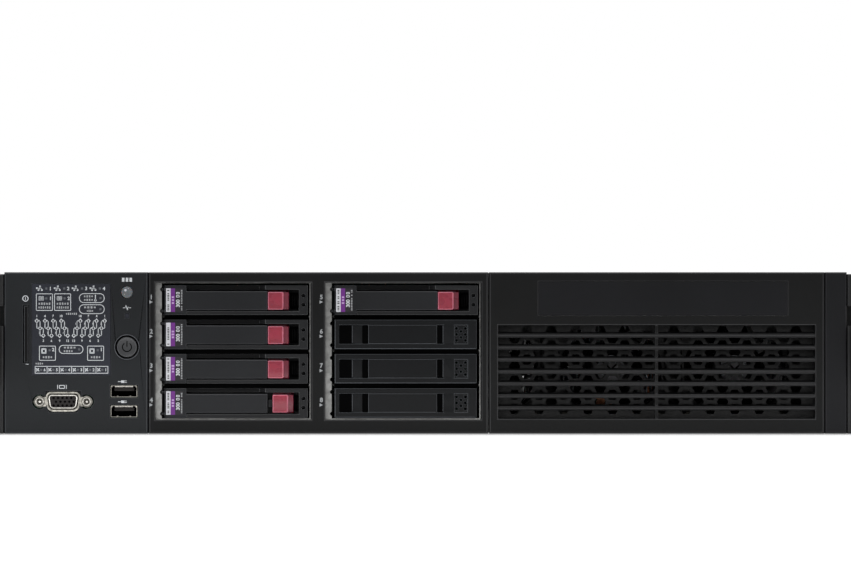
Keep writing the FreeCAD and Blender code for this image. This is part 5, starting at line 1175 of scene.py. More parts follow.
@dataclass
class BlankFace:
    """Painted shade in the pockets, painted highlights on thin rims, and moulded flaps of one bay
    blank.
    """

    bay: int
    pockets: Sequence[Pair] = ((2.4, 9.0), (14.8, 17.6), (54.6, 57.2))
    flaps: Sequence[Pair] = ((9.3, 14.6), (57.6, 63.6))
    middle: Pair = (18.0, 54.0)
    half: float = 4.9
    rim: float = 0.08

    def build(self) -> None:
        """Model the painted-shade floors of the pockets, the flaps and the thin painted-highlight
        rims.
        """
        box = bay_extent(self.bay)
        left, up, out = box.middle.x - box.width / 2, box.middle.z, -box.y0
        tall = 2 * self.half
        form = Form()
        # Painted shade on the pocket floors.
        for low, high in self.pockets:
            form.plate(form.box_outline((left + low, left + high), span(up, tall)),
                       (out - 0.02, out + 0.02), 0.3)
        for low, high in self.flaps:
            form.plate(form.box_outline((left + low, left + high), span(up + 0.1, tall - 0.4)),
                       (out - 0.02, out + 0.12), 0.5, 0.08, 2)
            # Painted highlight: a light strip on each flap's left edge.
            form.block((left + low, left + low + 0.28), span(up + 0.1, tall - 0.6),
                       (out, out + 0.15), 0.05, 1)
        start, end = left + self.middle[0], left + self.middle[1]
        # Painted highlight: light strips along the middle recess and along the blank's lower and
        # left edges.
        form.block((start, start + 0.26), span(up, tall - 0.3), (out, out + 0.1), 0.05, 1)
        for across, ups in (((start, end), span(up - self.half, 0.24)),
                            ((start, end), span(up + self.half, 0.16)),
                            ((left + 0.3, left + box.width - 0.5), (box.z0 + 0.15, box.z0 + 0.42)),
                            ((left + 0.3, left + 0.55), (box.z0 + 0.3, box.z1 - 0.3))):
            form.block(across, ups, (out, out + self.rim), self.rim / 2, 1)
        finish_piece(form, f"blank_face_{self.bay}", f"bay_blank_{self.bay}",
                     (SHADE_AND_SYMBOL_BLACK, BLANK_RIM_HIGHLIGHT, BLANK), Facing.FRONT)


# ================================================================ controls and front ports
@dataclass
class PushButtons:
    """Power button with a dished face and its symbol, and the frosted finder button."""

    dish: float = 0.55
    rim: float = 0.7
    shaft: float = 6.6
    shaft_collar: float = 0.9
    power_radius: float = 5.5
    ring: Pair = (5.75, 6.35)
    symbol_radius: float = 2.4
    symbol_line: float = 0.5
    symbol_arc: Pair = (40.0, 280.0)
    finder_radius: float = 3.1
    finder_dome: float = 0.25
    facets: Sequence[tuple[float, float, float]] = ((2.2, 1.2, 0.75), (0.5, 0.7, 0.5),
                                                    (3.9, 1.5, 0.45), (5.4, 1.4, 0.6),
                                                    (1.2, 1.9, 0.35))

    def profile(self, node: str, radius: float, dish: float) -> list[Pair]:
        """Half outline of a button as (radius, out)."""
        box = extent(node)
        front, back = -box.y0, -box.y1
        waist, collar = front - self.shaft, radius + self.shaft_collar
        return [(0.0, front - dish), (radius * 0.5, front - dish * 0.75),
                (radius * 0.8, front - dish * 0.2), (radius - self.rim, front),
                (radius - self.rim * 0.3, front - self.rim * 0.25), (radius, front - self.rim),
                (radius, waist), (collar, waist), (collar, back), (0.0, back)]

    def build(self) -> None:
        """Model both buttons and the gap round the power button."""
        self.power()
        self.gap()
        self.finder()

    def power(self) -> None:
        """Dark dished button with a shadowed rim, a ring of painted highlight on its face and the
        standby symbol.
        """
        box = extent("power_button")
        centre, front = (box.middle.x, box.middle.z), -box.y0
        form = Form()
        form.turned(centre, self.profile("power_button", self.power_radius, self.dish), 48)
        # Painted highlight: a light ring on the face inside the rim.
        form.turned(centre, [(4.75, front - 0.02), (4.95, front + 0.05), (5.15, front - 0.02)],
                    48, 2)
        out = front - self.dish * 0.6
        start, sweep = self.symbol_arc
        arc = [(centre[0] + self.symbol_radius * math.sin(a),
                centre[1] + self.symbol_radius * math.cos(a))
               for a in (math.radians(start + sweep * k / 16) for k in range(17))]
        form.stroke(arc, self.symbol_line, out, 1)
        form.stroke([(centre[0], centre[1] + 0.4), (centre[0], centre[1] + 3.2)],
                    self.symbol_line, out, 1)
        finish_piece(form, "power_button_cap", "power_button",
                     (BUTTON_CAP, SHADE_AND_SYMBOL_BLACK, LEVER_HIGHLIGHT), Facing.FRONT, ("power_button",))

    def gap(self) -> None:
        """Painted shade in the gap round the power button, with a painted highlight on its lip."""
        middle = extent("power_button").middle
        centre, face = (middle.x, middle.z), -extent("control_bezel").y0
        inner, outer = self.ring
        form = Form()
        # Painted shade in the gap, and a painted highlight on the lip round it.
        form.disc(centre, outer, (face - 0.3, face + 0.03), steps=48, hole=inner)
        form.turned(centre, [(outer, face), (outer + 0.15, face + 0.1), (outer + 0.3, face)],
                    48, 1)
        finish_piece(form, "power_button_ring", "chassis", (SHADE_AND_SYMBOL_BLACK, GREY_PRINT_AND_HIGHLIGHT),
                     Facing.FRONT)

    def finder(self) -> None:
        """Frosted translucent button with spots of painted highlight on its face."""
        box = extent("id_button")
        centre, out = box.middle, -box.y0
        form = Form()
        form.turned((centre.x, centre.z),
                    self.profile("id_button", self.finder_radius, -self.finder_dome), 36)
        # Painted highlight: light spots on the frosted face.
        for k, (angle, reach, size) in enumerate(self.facets):
            place = (centre.x + reach * math.cos(angle), centre.z + reach * math.sin(angle))
            form.disc(place, size, (out - 0.2, out + 0.22 - 0.02 * k), 0.15, 1 + k % 2, 12)
        finish_piece(form, "finder_button_cap", "id_button",
                     (FROSTED, WHITE_LABEL_AND_HIGHLIGHT, GREY_PRINT_AND_HIGHLIGHT), Facing.FRONT, ("id_button",))


@dataclass
class MonitorPort:
    """Drawn nickel shell with its flange and jack nuts round a fifteen-hole insert."""

    shell: Pair = (15.2, 6.6)
    inset: float = 31.3
    up: float = 17.0
    taper: float = 0.17
    collar: float = 1.9
    lobe: float = 3.1
    pin_radius: float = 0.66
    pin_pitch: float = 2.35
    row_pitch: float = 2.0
    spread: float = 25.0

    def __post_init__(self) -> None:
        """Take the place from the bezel."""
        self.across = extent("control_bezel").x0 + self.inset
        self.face = -extent("bay_bezel").y0
        self.form = Form()

    def outline(self, grow: float) -> list[Pair]:
        """Corners of the D, narrower at its foot."""
        half_w, half_h = self.shell[0] / 2 + grow, self.shell[1] / 2 + grow
        slope = self.shell[1] * self.taper
        return [(self.across - half_w + slope, self.up - half_h),
                (self.across + half_w - slope, self.up - half_h),
                (self.across + half_w, self.up + half_h),
                (self.across - half_w, self.up + half_h)]

    def build(self) -> None:
        """Model the collar, the flange, the nuts, the shell and the insert."""
        form, face = self.form, self.face
        form.panel((self.across, self.up), (20.4, 13.4), (face - 1.9, face - 1.7), 2.0, 0, 4)
        # Painted shade and painted highlight: the flange ring takes the darker nickel, the gap
        # round the shell the near black, and the shell's rim the lighter nickel.
        for grow, low, high, corner, edge, paint, wall in (
                (self.collar, -1.6, -0.15, 3.1, 0.4, 0, 0.75),
                (self.collar - 0.3, -1.6, -0.95, 2.9, 0, 6, 1.5),
                (0.85, -1.6, -0.85, 2.3, 0, 2, 0.4), (0.42, -1.5, 0.45, 2.0, 0.3, 3, 0.72)):
            form.plate(self.outline(grow), (face + low, face + high), corner, edge, paint, wall, 6)
        form.plate(self.outline(-0.25), (face - 9.0, face - 0.3), 1.55, 0, 1)
        for side in (-1, 1):
            centre = (self.across + side * self.spread / 2, self.up)
            form.disc(centre, self.lobe, (face - 1.6, face - 0.6), 0.35, 0, 32, 1.5)
            form.panel((self.across + side * 9.9, self.up), (2.4, 5.0),
                       (face - 1.6, face - 0.75), 0, 0.2)
            self.nut(centre)
        # Painted shade: the fifteen pin holes are near-black discs.
        for level in (1, 0, -1):
            shift = self.pin_pitch * (-0.15 if level else 0.4)
            for k in range(-2, 3):
                centre = (self.across + shift + self.pin_pitch * k,
                          self.up + self.row_pitch * level)
                form.disc(centre, self.pin_radius, (face - 0.35, face - 0.27), 0, 2, 12)
        finish_piece(form, "monitor_port", "chassis",
                     (NICKEL, PORT_NYLON, SHADE_AND_SYMBOL_BLACK, NICKEL_HIGHLIGHT, PANEL, BORE_SHADE, NICKEL_SHADE),
                     Facing.FRONT)

    def nut(self, centre: Pair) -> None:
        """Jack nut with a rounded rim and a threaded bore; painted highlight on the rim and deep in
        the bore, painted shade on the threads and the bore's floor.
        """
        form, face = self.form, self.face
        form.turned(centre, [(2.75, face - 1.2), (2.75, face + 0.2), (2.3, face + 0.62),
                             (1.85, face + 0.62), (1.4, face + 0.15), (1.4, face - 5.0)], 24)
        form.turned(centre, [(1.75, face + 0.6), (1.95, face + 0.72), (2.15, face + 0.6)], 24, 3)
        for turn in range(3):
            depth = face - 0.5 * turn
            form.disc(centre, 1.42, (depth - 0.45, depth - 0.3), 0, 6, 16, 1.2)
        form.disc(centre, 1.41, (face - 1.9, face - 1.8), 0, 5, 16)
        form.disc(centre, 0.75, (face - 1.9, face - 0.9), 0.2, 3, 16)


@dataclass
class UsbPorts:
    """Two pressed shells with spring tongues and a black contact tongue."""

    size: Pair = (14.1, 6.3)
    wall: float = 0.34
    inset: float = 12.7
    lifts: Pair = (11.9, 22.55)

    def build(self) -> None:
        """Model both ports."""
        across = extent("control_bezel").x1 - self.inset
        form = Form()
        for up in self.lifts:
            self.port(form, across, up, -extent("bay_bezel").y0)
        finish_piece(form, "usb_ports", "chassis",
                     (NICKEL, PORT_NYLON, SHADE_AND_SYMBOL_BLACK, GOLD, NICKEL_HIGHLIGHT), Facing.FRONT,
                     ("port_shells", "port_inserts"))

    def port(self, form: Form, across: float, up: float, face: float) -> None:
        """One port: shell, painted shade at its back, tongue, springs and folded corners."""
        wide, tall = self.size
        form.panel((across, up), self.size, (face - 10.0, face + 0.1), 0.5, 0.12, 0, self.wall, 3)
        # Painted shade: a near-black plate at the back of the shell.
        form.panel((across, up), (wide - 0.5, tall - 0.5), (face - 9.4, face - 9.2), 0, 0, 2)
        form.block(span(across, 10.6), (up + 0.1, up + 1.9), (face - 9.3, face - 2.4), 0.2, 1)
        # Painted highlight: the upper springs and the strip over them take the lighter nickel.
        for shift in (-2.6, 2.6):
            form.block(span(across + shift, 4.6), (up + 2.15, up + 2.85),
                       (face - 2.2, face - 0.05), 0.3, 4, segments=3)
        form.block(span(across, 9.8), (up + 2.35, up + 2.85), (face - 2.6, face - 0.1), 0.2, 4)
        for shift in (-3.4, 3.4):
            form.block(span(across + shift, 0.9), (up - 2.95, up - 2.3),
                       (face - 3.0, face - 0.2), 0.25)
        for side in (-1, 1):
            corner = [(across + side * 6.95, up + 2.95), (across + side * 5.7, up + 2.95),
                      (across + side * 6.95, up + 1.6)]
            form.plate(corner[::-side], (face - 1.2, face - 0.25))


# ================================================================ drives
@dataclass
class DriveCarrier:
    """What is seen on one drive carrier: label, button, lamps, screws and drive details."""

    bay: int
    label_half: float = 6.25
    label_bands: Sequence[tuple[float, float, int]] = ((1.45, 3.85, 0), (3.85, 6.25, 1),
                                                       (6.25, 9.2, 2), (9.2, 10.4, 2))
    number_right: float = 7.75
    step: float = 3.0
    button_slot: float = 2.1
    lamp_inset: float = 2.3
    lamp_lift: float = 2.45
    lamp_radius: float = 1.02
    glint_radius: float = 1.12
    rail_depth: float = 4.0

    def __post_init__(self) -> None:
        """Take the carrier's place from its nodes."""
        self.seat = extent(f"carrier_{self.bay}")
        self.face = -self.seat.y0
        self.left = self.seat.x1 - CARRIER_WIDTH
        self.up = self.seat.middle.z

    def build(self) -> None:
        """Model every detail of the carrier."""
        self.label()
        self.button()
        self.lamps()
        self.drive_details()

    def label(self) -> None:
        """Label in four upright bands with plain marks."""
        form = Form()
        out = (self.face, self.face + 0.05)
        for low, high, paint in self.label_bands:
            outline = form.box_outline((self.left + low, self.left + high),
                                       (self.up - self.label_half, self.up + self.label_half))
            form.plate(outline, out, paint=paint)
        top = out[1] + PRINT_THICK
        rng = random.Random(self.bay)
        self.mark_column(form, (2.65, 1.1), 13, 3, top, rng)
        self.mark_column(form, (5.1, 1.5), 3, 6, top, rng, 2.3)
        form.digits("300", (self.left + self.number_right, self.up - 1.7), 2.1, top, 4, 90)
        for lift in (2.0, 3.7):
            form.panel((self.left + self.number_right, self.up + lift), (1.9, 1.15), (top, top),
                       0.4, 0, 4, 0.36)
        self.mark_column(form, (9.75, 0.8), 13, 7, top, rng)
        finish_piece(form, f"drive_label_{self.bay}", f"lever_{self.bay}",
                     (WHITE_LABEL_AND_HIGHLIGHT, LABEL_PURPLE, LABEL_DARK, DARK_INK, WHITE_INK, GREY_PRINT_AND_HIGHLIGHT,
                      LILAC_INK, PALE_INK), Facing.FRONT)

    def mark_column(self, form: Form, column: Pair, count: int, paint: int, out: float,
                    rng: random.Random, half: float = 5.6) -> None:
        """Upright row of small bars in place of words.

        Args:
            form: form that takes the bars.
            column: (place from the left end, width) of the row.
            count: number of places for a bar.
            paint: index of the bars' finish.
            out: where their face lies.
            rng: source of the gaps and widths.
            half: half of the row's height.
        """
        right, width = column
        pitch = 2 * half / count
        for k in range(count):
            if rng.random() < 0.12:
                continue
            up = self.up - half + pitch * (k + 0.5)
            form.brick((self.left + right, up), (width * rng.uniform(0.75, 1.0), pitch * 0.6),
                       (out - PRINT_THICK, out), paint=paint)

    def button(self) -> None:
        """Burgundy cap with rounded edges, a lower finger step with ribs, and its foot."""
        box = extent(f"latch_button_{self.bay}")
        form = Form()
        x0, x1, face = box.x0, box.x1, self.face
        low, high = box.z0 + 0.5, box.z1 - 1.0
        split, middle = x1 - self.step, self.up - 0.3
        slot = (middle - self.button_slot, middle + self.button_slot)
        # Painted highlight on the cap's rounded edges and on the line at the step; painted shade on
        # the step, the blocks beside the slot and the foot.
        form.block((x0, split + 0.05), (low, high), (face - 1.8, face), 0.5, segments=3, rim=1)
        form.block((split - 0.3, x1), (low, high), (face - 2.8, face - 0.9), 0.6, 2, segments=3)
        form.block((split + 0.05, split + 0.3), (low + 0.5, high - 0.5),
                   (face - 1.2, face - 0.35), 0.1, 1)
        for up in ((low + 0.2, slot[0]), (slot[1], high - 0.2)):
            form.block((x0 + 0.2, x1 - 0.2), up, (face - 5.0, face - 1.6), 0.2, 2)
        form.block((x1 - 1.8, x1), (low + 0.2, high - 0.2), (face - 5.0, face - 2.6), 0.2, 2)
        foot = (face - 7.6, face - 5.0)
        for up in ((box.z0, slot[0]), (slot[1], box.z1)):
            form.block((x0, x1), up, foot, 0.3, 2)
        form.block((x1 - 1.8, x1), (box.z0, box.z1), foot, 0.3, 2)
        finish_piece(form, f"latch_cap_{self.bay}", f"button_{self.bay}",
                     (BURGUNDY, BURGUNDY_HIGHLIGHT, BURGUNDY_SHADE), Facing.FRONT,
                     (f"latch_button_{self.bay}",))

    def lamps(self) -> None:
        """Two dark lamps with arcs of painted highlight in the end block, and painted shade on the
        rail and in the pocket round the lever.
        """
        form = Form()
        right, face = self.seat.x1, self.face
        across = right - self.lamp_inset
        for side in (-1, 1):
            up = self.up + side * self.lamp_lift
            form.disc((across, up), self.lamp_radius, (face - 0.05, face + 0.03), 0, 3, 28)
            # Painted highlight: a light arc round the lower right of each lens.
            glint = [(across + self.glint_radius * math.cos(a),
                      up + self.glint_radius * math.sin(a))
                     for a in (math.radians(-80 + 12 * k) for k in range(9))]
            form.stroke(glint, 0.26, face + 0.05, 1)
            form.disc((across - 0.3, up + 0.35), 0.2, (face, face + 0.04), steps=12)
        # Painted shade: a dark plate on the rail over the lever and a near-black floor and dark
        # bars in the pocket.
        rail = form.box_outline((self.left + 12.9, right - 25.9),
                                (self.up + 5.85, self.seat.z1 - 0.15))
        rail_face = face - self.rail_depth
        form.plate(rail, (rail_face + 0.02, rail_face + 0.05), paint=2)
        pocket = form.box_outline((right - 9.6, right - 5.2), (self.up - 4.6, self.up + 3.9))
        form.plate(pocket, (face - 8.0, face - 7.9), paint=3)
        for k in range(3):
            form.block(span(right - 8.3 + 1.25 * k, 0.35), (self.up - 3.4, self.up + 2.8),
                       (face - 7.9, face - 7.7), 0.05, 2)
        finish_piece(form, f"drive_lamps_{self.bay}", f"carrier_{self.bay}",
                     (LENS, GREY_PRINT_AND_HIGHLIGHT, SHADED, SHADE_AND_SYMBOL_BLACK), Facing.FRONT)

    def drive_details(self) -> None:
        """Lid, motor plate and screws of the drive between the rails."""
        box = extent(f"drive_{self.bay}")
        form = Form()
        top, motor = box.z1, (box.middle.x, box.y0 + 38)
        form.plate(form.box_outline((box.x0 + 3, box.x1 - 3), (box.y0 + 4, box.y1 - 4)),
                   (top - 0.1, top + 0.12), 3.0, 0.1)
        form.disc(motor, 17.0, (top, top + 0.22), 0.15, 0, 40)
        form.disc(motor, 3.2, (top, top + 0.3), 0.1, 1, 20)
        for x in (box.x0 + 5.5, box.x1 - 5.5):
            for y in (box.y0 + 7, box.middle.y, box.y1 - 7):
                screw_head(form, (x, y), 1.7, top + 0.1, 0.18, 1)
        finish_piece(form, f"drive_lid_{self.bay}", f"carrier_{self.bay}",
                     (DRIVE_METAL, SCREW))


def screw_head(form: Form, centre: Pair, radius: float, base: float, rise: float, paint: int = 0,
               recess: int | None = None) -> None:
    """Pan head with a six-pointed recess.

    Args:
        form: form that takes the screw, looking out.
        centre: (across, up) of its axis.
        radius: of the head.
        base: where the head sits.
        rise: its height.
        paint: finish of the head.
        recess: finish of the recess, or none for the head's own; the callers give the black of the
            painted shade.
    """
    top, floor = base + rise, base + rise * 0.2
    form.turned(centre, [(radius, base), (radius, base + rise * 0.45),
                         (radius * 0.86, base + rise * 0.85), (radius * 0.6, top),
                         (radius * 0.5, top), (radius * 0.44, floor), (0.0, floor)], 18, paint)
    if recess is not None:
        # Painted shade: the recess is drawn in the caller's near black.
        for turn in (0, 60, 120):
            form.brick(centre, (radius, radius * 0.3), (top - rise * 0.3, top + 0.01), 0, recess,
                       turn)


# ================================================================ ears
@dataclass
class EarHardware:
    """Screw recess, spring and grip ribs of one rack ear."""

    side: int
    screw: Pair = (232.65, 37.3)
    screw_radius: float = 4.45
    spring_radius: float = 4.5
    spring_steps: int = 16
    rib_pitch: float = 1.5

    def build(self) -> None:
        """Model the ear's small parts."""
        name = "right" if self.side > 0 else "left"
        self.rack_screw(name)
        self.grip(name)

    def rack_screw(self, name: str) -> None:
        """Recessed rack screw with a coiled spring behind its head."""
        form = Form()
        face = -extent("bay_bezel").y0
        across, up = self.side * self.screw[0], self.screw[1]
        screw_head(form, (across, up), self.screw_radius, face - 12.1, 1.1, 0, 1)
        for k in range(self.spring_steps):
            angle = math.tau * k / self.spring_steps
            place = (across + self.spring_radius * math.cos(angle),
                     up + self.spring_radius * math.sin(angle))
            form.brick(place, (0.5, 0.5), (face - 16.0, face - 12.6), 0.1,
                       turn=math.degrees(angle))
        finish_piece(form, f"rack_screw_head_{name}", "chassis", (SCREW, SHADE_AND_SYMBOL_BLACK),
                     Facing.FRONT)

    def grip(self, name: str) -> None:
        """Four stepped ribs under the finger, in the lighter plastic of the painted highlights."""
        lever = extent(f"ear_lever_{name}")
        form = Form()
        out = -lever.y0
        for k in range(4):
            form.block((lever.x0 + 2.2, lever.x1 - 2.2),
                       span(lever.z1 - 5.2 - self.rib_pitch * k, 0.6),
                       (out - 2.0, out - 0.35 - 0.2 * k), 0.2)
        finish_piece(form, f"ear_grip_{name}", f"ear_lever_{name}", (BEZEL_HIGHLIGHT,),
                     Facing.FRONT)


# ================================================================ covers and tray
@dataclass
class CoverDetails:
    """Stiffening beads, flat screws and the latch plate of the covers."""

    bead: float = 0.32
    bead_corner: float = 6.0
    margin: float = 18.0
    gap: float = 8.0
    screw: float = 2.6

    def build(self) -> None:
        """Model what stands on the two covers."""
        self.fixed()
        self.panel()
        self.latch()

    def bead_box(self, form: Form, across: Pair, up: Pair, top: float) -> None:
        """Raised bead with rounded corners."""
        form.plate(form.box_outline(across, up), (top - 0.1, top + self.bead), self.bead_corner,
                   0.22, 0, 5.0, 6)

    def fixed(self) -> None:
        """Front cover: two wide beads and a row of screws."""
        box = extent("front_cover")
        form = Form()
        deep = (box.y0 + 18, box.y1 - 22)
        self.bead_box(form, (box.x0 + self.margin, -self.gap), deep, box.z1)
        self.bead_box(form, (self.gap, box.x1 - self.margin), deep, box.z1)
        places = [(x, box.y1 - 8) for x in row(box.x0 + 9, (box.width - 18) / 6, 7)]
        places += [(x, box.y0 + 7) for x in (box.x0 + 9, 0.0, box.x1 - 9)]
        for place in places:
            screw_head(form, place, self.screw, box.z1, 0.42, 1, 2)
        finish_piece(form, "front_cover_details", "chassis", (COVER_STEEL, SCREW, SHADE_AND_SYMBOL_BLACK))

    def panel(self) -> None:
        """Access panel: beads beside the latch, along the middle and along the rear."""
        box, latch = extent("access_panel"), extent("cover_latch")
        form = Form()
        left, right = box.x0 + self.margin, box.x1 - self.margin
        front = (box.y0 + 20, box.y0 + 120)
        for across, deep in (((left, latch.x0 - 16), front), ((latch.x1 + 16, right), front),
                             ((left, right), (box.y1 - 60, box.y1 - 24)),
                             ((box.x0 + 60, box.x1 - 60), (box.y0 + 150, box.y1 - 90))):
            self.bead_box(form, across, deep, box.z1)
        for x in (box.x0 + 10, box.x1 - 10):
            for y in (box.y0 + 9, box.y1 - 9):
                form.disc((x, y), 4.0, (box.z1, box.z1 + 0.3), 0.2, hole=1.6)
        finish_piece(form, "access_panel_details", "access_panel", (COVER_STEEL,))

    def latch(self) -> None:
        """Finger ribs, an arrow and a keeper screw on the latch plate."""
        box = extent("cover_latch")
        form = Form()
        middle, top, start = box.middle.x, box.z1, box.y0
        # Painted highlight: the finger ribs take the lighter burgundy.
        for k in range(5):
            form.block((box.x0 + 7, box.x1 - 7), span(start + 6 + 2.6 * k, 1.1),
                       (top - 0.3, top + 0.28), 0.2, 1)
        form.plate([(middle - 4, start + 26), (middle + 4, start + 26), (middle, start + 33)],
                   (top - 0.1, top + 0.12), 0.5, 0, 2)
        form.disc((middle, start + 40), 3.4, (top - 0.1, top + 0.2), 0.15, 3, hole=1.2)
        finish_piece(form, "cover_latch_details", "cover_latch",
                     (BURGUNDY, BURGUNDY_HIGHLIGHT, WHITE_LABEL_AND_HIGHLIGHT, SCREW))


@dataclass
class TrayDetails:
    """Rivets and shoulder rings of the tray's sides, and its rear mesh."""

    stations: Sequence[float] = (0.22, 0.52, 0.82)
    station_up: float = 40.0
    rivets: int = 9
    rivet_lifts: Pair = (6.0, 69.0)
    mesh_across: Pair = (-218.0, -142.0)
    mesh_up: Pair = (14.0, 76.0)
    mesh_pitch: float = 2.0
    wire: float = 0.5

    def build(self) -> None:
        """Model the tray's sides and the mesh behind its rear vents."""
        tray = extent("chassis_tray")
        self.side(tray, Facing.LEFT, "left", -1)
        self.side(tray, Facing.RIGHT, "right", 1)
        self.rear_mesh(tray)

    def side(self, tray: Extent, facing: Facing, name: str, sign: int) -> None:
        """Two rows of rivets and the shoulder rings of one side."""
        skin = extent("front_cover").x1 - 1.5
        length = tray.y1 - tray.y0
        form = Form()
        for k in range(self.rivets):
            y = tray.y0 + 78 + (length - 100) * k / (self.rivets - 1)
            for lift in self.rivet_lifts:
                form.disc((sign * y, lift), 1.5, (skin - 0.05, skin + 0.25), 0.15, steps=16)
        for share in self.stations:
            centre = (sign * (tray.y0 + length * share), self.station_up)
            form.turned(centre, [(0.0, skin + 3.1), (1.2, skin + 3.1), (1.4, skin + 3.35),
                                 (3.3, skin + 3.4), (3.9, skin + 3.2), (4.0, skin + 2.2),
                                 (2.5, skin + 2.1), (2.5, skin)], 24, 1)
            form.disc(centre, 6.5, (skin - 0.05, skin + 0.2), 0.15, 0, 32, 2.6)
        finish_piece(form, f"tray_side_{name}", "chassis", (STEEL, SCREW), facing)

    def rear_mesh(self, tray: Extent) -> None:
        """Woven screen behind the tall vents of the rear wall, in painted shade: darker black wires
        over a near-black backing.
        """
        form = Form()
        across, up, pitch = self.mesh_across, self.mesh_up, self.mesh_pitch
        out = tray.y1 - 3.2
        form.plate(form.box_outline(across, up), (out - 0.3, out), 1.0, 0, 1)
        for u in row(across[0] + pitch / 2, pitch, 38):
            form.block(span(u, self.wire), up, (out, out + 0.3))
        for v in row(up[0] + pitch / 2, pitch, 31):
            form.block(across, span(v, self.wire), (out + 0.2, out + 0.5))
        finish_piece(form, "rear_vent_mesh", "chassis", (SCREEN_SHADE, SHADE_AND_SYMBOL_BLACK), Facing.REAR)


# ================================================================ cooling
@dataclass
class FanBank:
    """Six fans: curved blades, hub caps, wire guards, screws and lift handles."""

    count: int = 6
    pitch: float = 70.0
    axis: float = 31.2
    blades: int = 5
    hub: float = 12.5
    hub_depth: float = 27.0
    bore: float = 28.4
    guards: Sequence[float] = (9.0, 15.5, 22.0, 28.0)
    screw_offset: float = 26.0
    wall: Pair = (-24.0, -22.8)

    def build(self) -> None:
        """Model rotors and fixed parts."""
        for index in range(1, self.count + 1):
            self.rotor(index)
        self.fixtures()

    def rotor(self, index: int) -> None:
        """Hub with a rounded cap and swept, twisted blades."""
        box = extent(f"fan_rotor_{index}")
        centre = (box.middle.x, self.axis)
        form = Form()
        front = -box.y0
        back = front - self.hub_depth
        form.turned(centre, [(0.0, front - 0.4), (6.0, front), (self.hub - 2.0, front - 0.2),
                             (self.hub - 0.5, front - 1.0), (self.hub, front - 2.5),
                             (self.hub, back), (0.0, back)], 36)
        form.disc(centre, 1.5, (-box.y1, back + 0.1), 0, 2, 12)
        form.disc(centre, 8.0, (front - 0.1, front + 0.04), 0, 1, 32)
        middle = Matrix.Translation((*centre, (front + back) / 2))
        for k in range(self.blades):
            turn = Matrix.Rotation(math.tau * k / self.blades, 4, "Z")
            form.join(self.blade(), middle @ turn)
        finish_piece(form, f"fan_blades_{index}", f"fan_rotor_{index}",
                     (FAN_PLASTIC, WHITE_LABEL_AND_HIGHLIGHT, SCREW), Facing.FRONT, (f"fan_rotor_{index}",))

    def blade(self) -> Form:
        """One blade: a thin grid, swept back and twisted from root to tip."""
        form = Form()
        part = bmesh.new()
        bmesh.ops.create_grid(part, x_segments=6, y_segments=6, size=1.0)
        root, tip, limit = self.hub - 0.5, self.bore - 1.0, self.hub_depth / 2 - 0.9
        for vert in part.verts:
            share = (vert.co.x + 1) / 2
            radius = root + (tip - self.hub + 0.5) * share
            lean = math.radians(58 - 18 * share)
            along = vert.co.y * (9.5 + 2.0 * share)
            sweep = (along * math.sin(lean)) / radius + 0.35 * share ** 1.5
            angle = sweep + 1.6 * (1 - vert.co.y ** 2) / radius
            lift = along * math.cos(lean)
            vert.co = (radius * math.cos(angle), radius * math.sin(angle),
                       max(-limit, min(limit, lift)))
        bmesh.ops.solidify(part, geom=part.faces[:], thickness=0.9)
        bmesh.ops.recalc_face_normals(part, faces=part.faces[:])
        form.take(part, 0)
        return form

    def fixtures(self) -> None:
        """Wire guards, corner screws, plugs and lift handles; the screws and handles take darker
        copies of nickel and burgundy as painted shade.
        """
        form = Form()
        frames = extent("fan_frames")
        face = -frames.y0
        wall = (face + self.wall[0], face + self.wall[1])
        for x in row(frames.x0 + 30, self.pitch, self.count):
            self.guard(form, (x, self.axis), face)
            form.block(span(x + 35.0, 10.4), (1.6, 61.2), wall, 0.1)
            # Painted shade: the lift handles take the darker burgundy.
            form.block(span(x, 34.0), (61.2, 64.5), (face - 30.0, face - 8.0), 1.0, 3, segments=3)
            form.block(span(x, 26.0), (64.0, 70.0), (face - 21.0, face - 17.0), 1.4, 3,
                       segments=3)
            form.block(span(x + 24.0, 9.0), (61.2, 68.0), (face - 36.0, face - 26.0), 0.6, 4)
        form.block((frames.x0 - 11.0, frames.x0 + 0.2), (1.6, 75.8), wall, 0.1)
        form.block((frames.x0, frames.x1 + 11.0), (61.3, 75.8), wall, 0.1)
        finish_piece(form, "fan_fixtures", "chassis",
                     (FAN_PLASTIC, BLACK_COAT, NICKEL_SHADE, BURGUNDY_SHADE, NYLON), Facing.FRONT)

    def guard(self, form: Form, centre: Pair, face: float) -> None:
        """Wire rings on crossed bars, with four corner screws."""
        for radius in self.guards:
            form.turned(centre, [(radius - 0.5, face + 0.6), (radius, face + 1.1),
                                 (radius + 0.5, face + 0.6), (radius, face + 0.1),
                                 (radius - 0.5, face + 0.6)], 40, 1)
        for turn in (45, 135):
            form.brick(centre, (62.0, 0.9), (face + 0.1, face + 1.0), 0.2, 1, turn)
        for side in (-1, 1):
            for lift in (-1, 1):
                place = (centre[0] + side * self.screw_offset, centre[1] + lift * self.screw_offset)
                # Painted shade: the guard screws take the darker nickel.
                screw_head(form, place, 2.6, face, 1.0, 2)


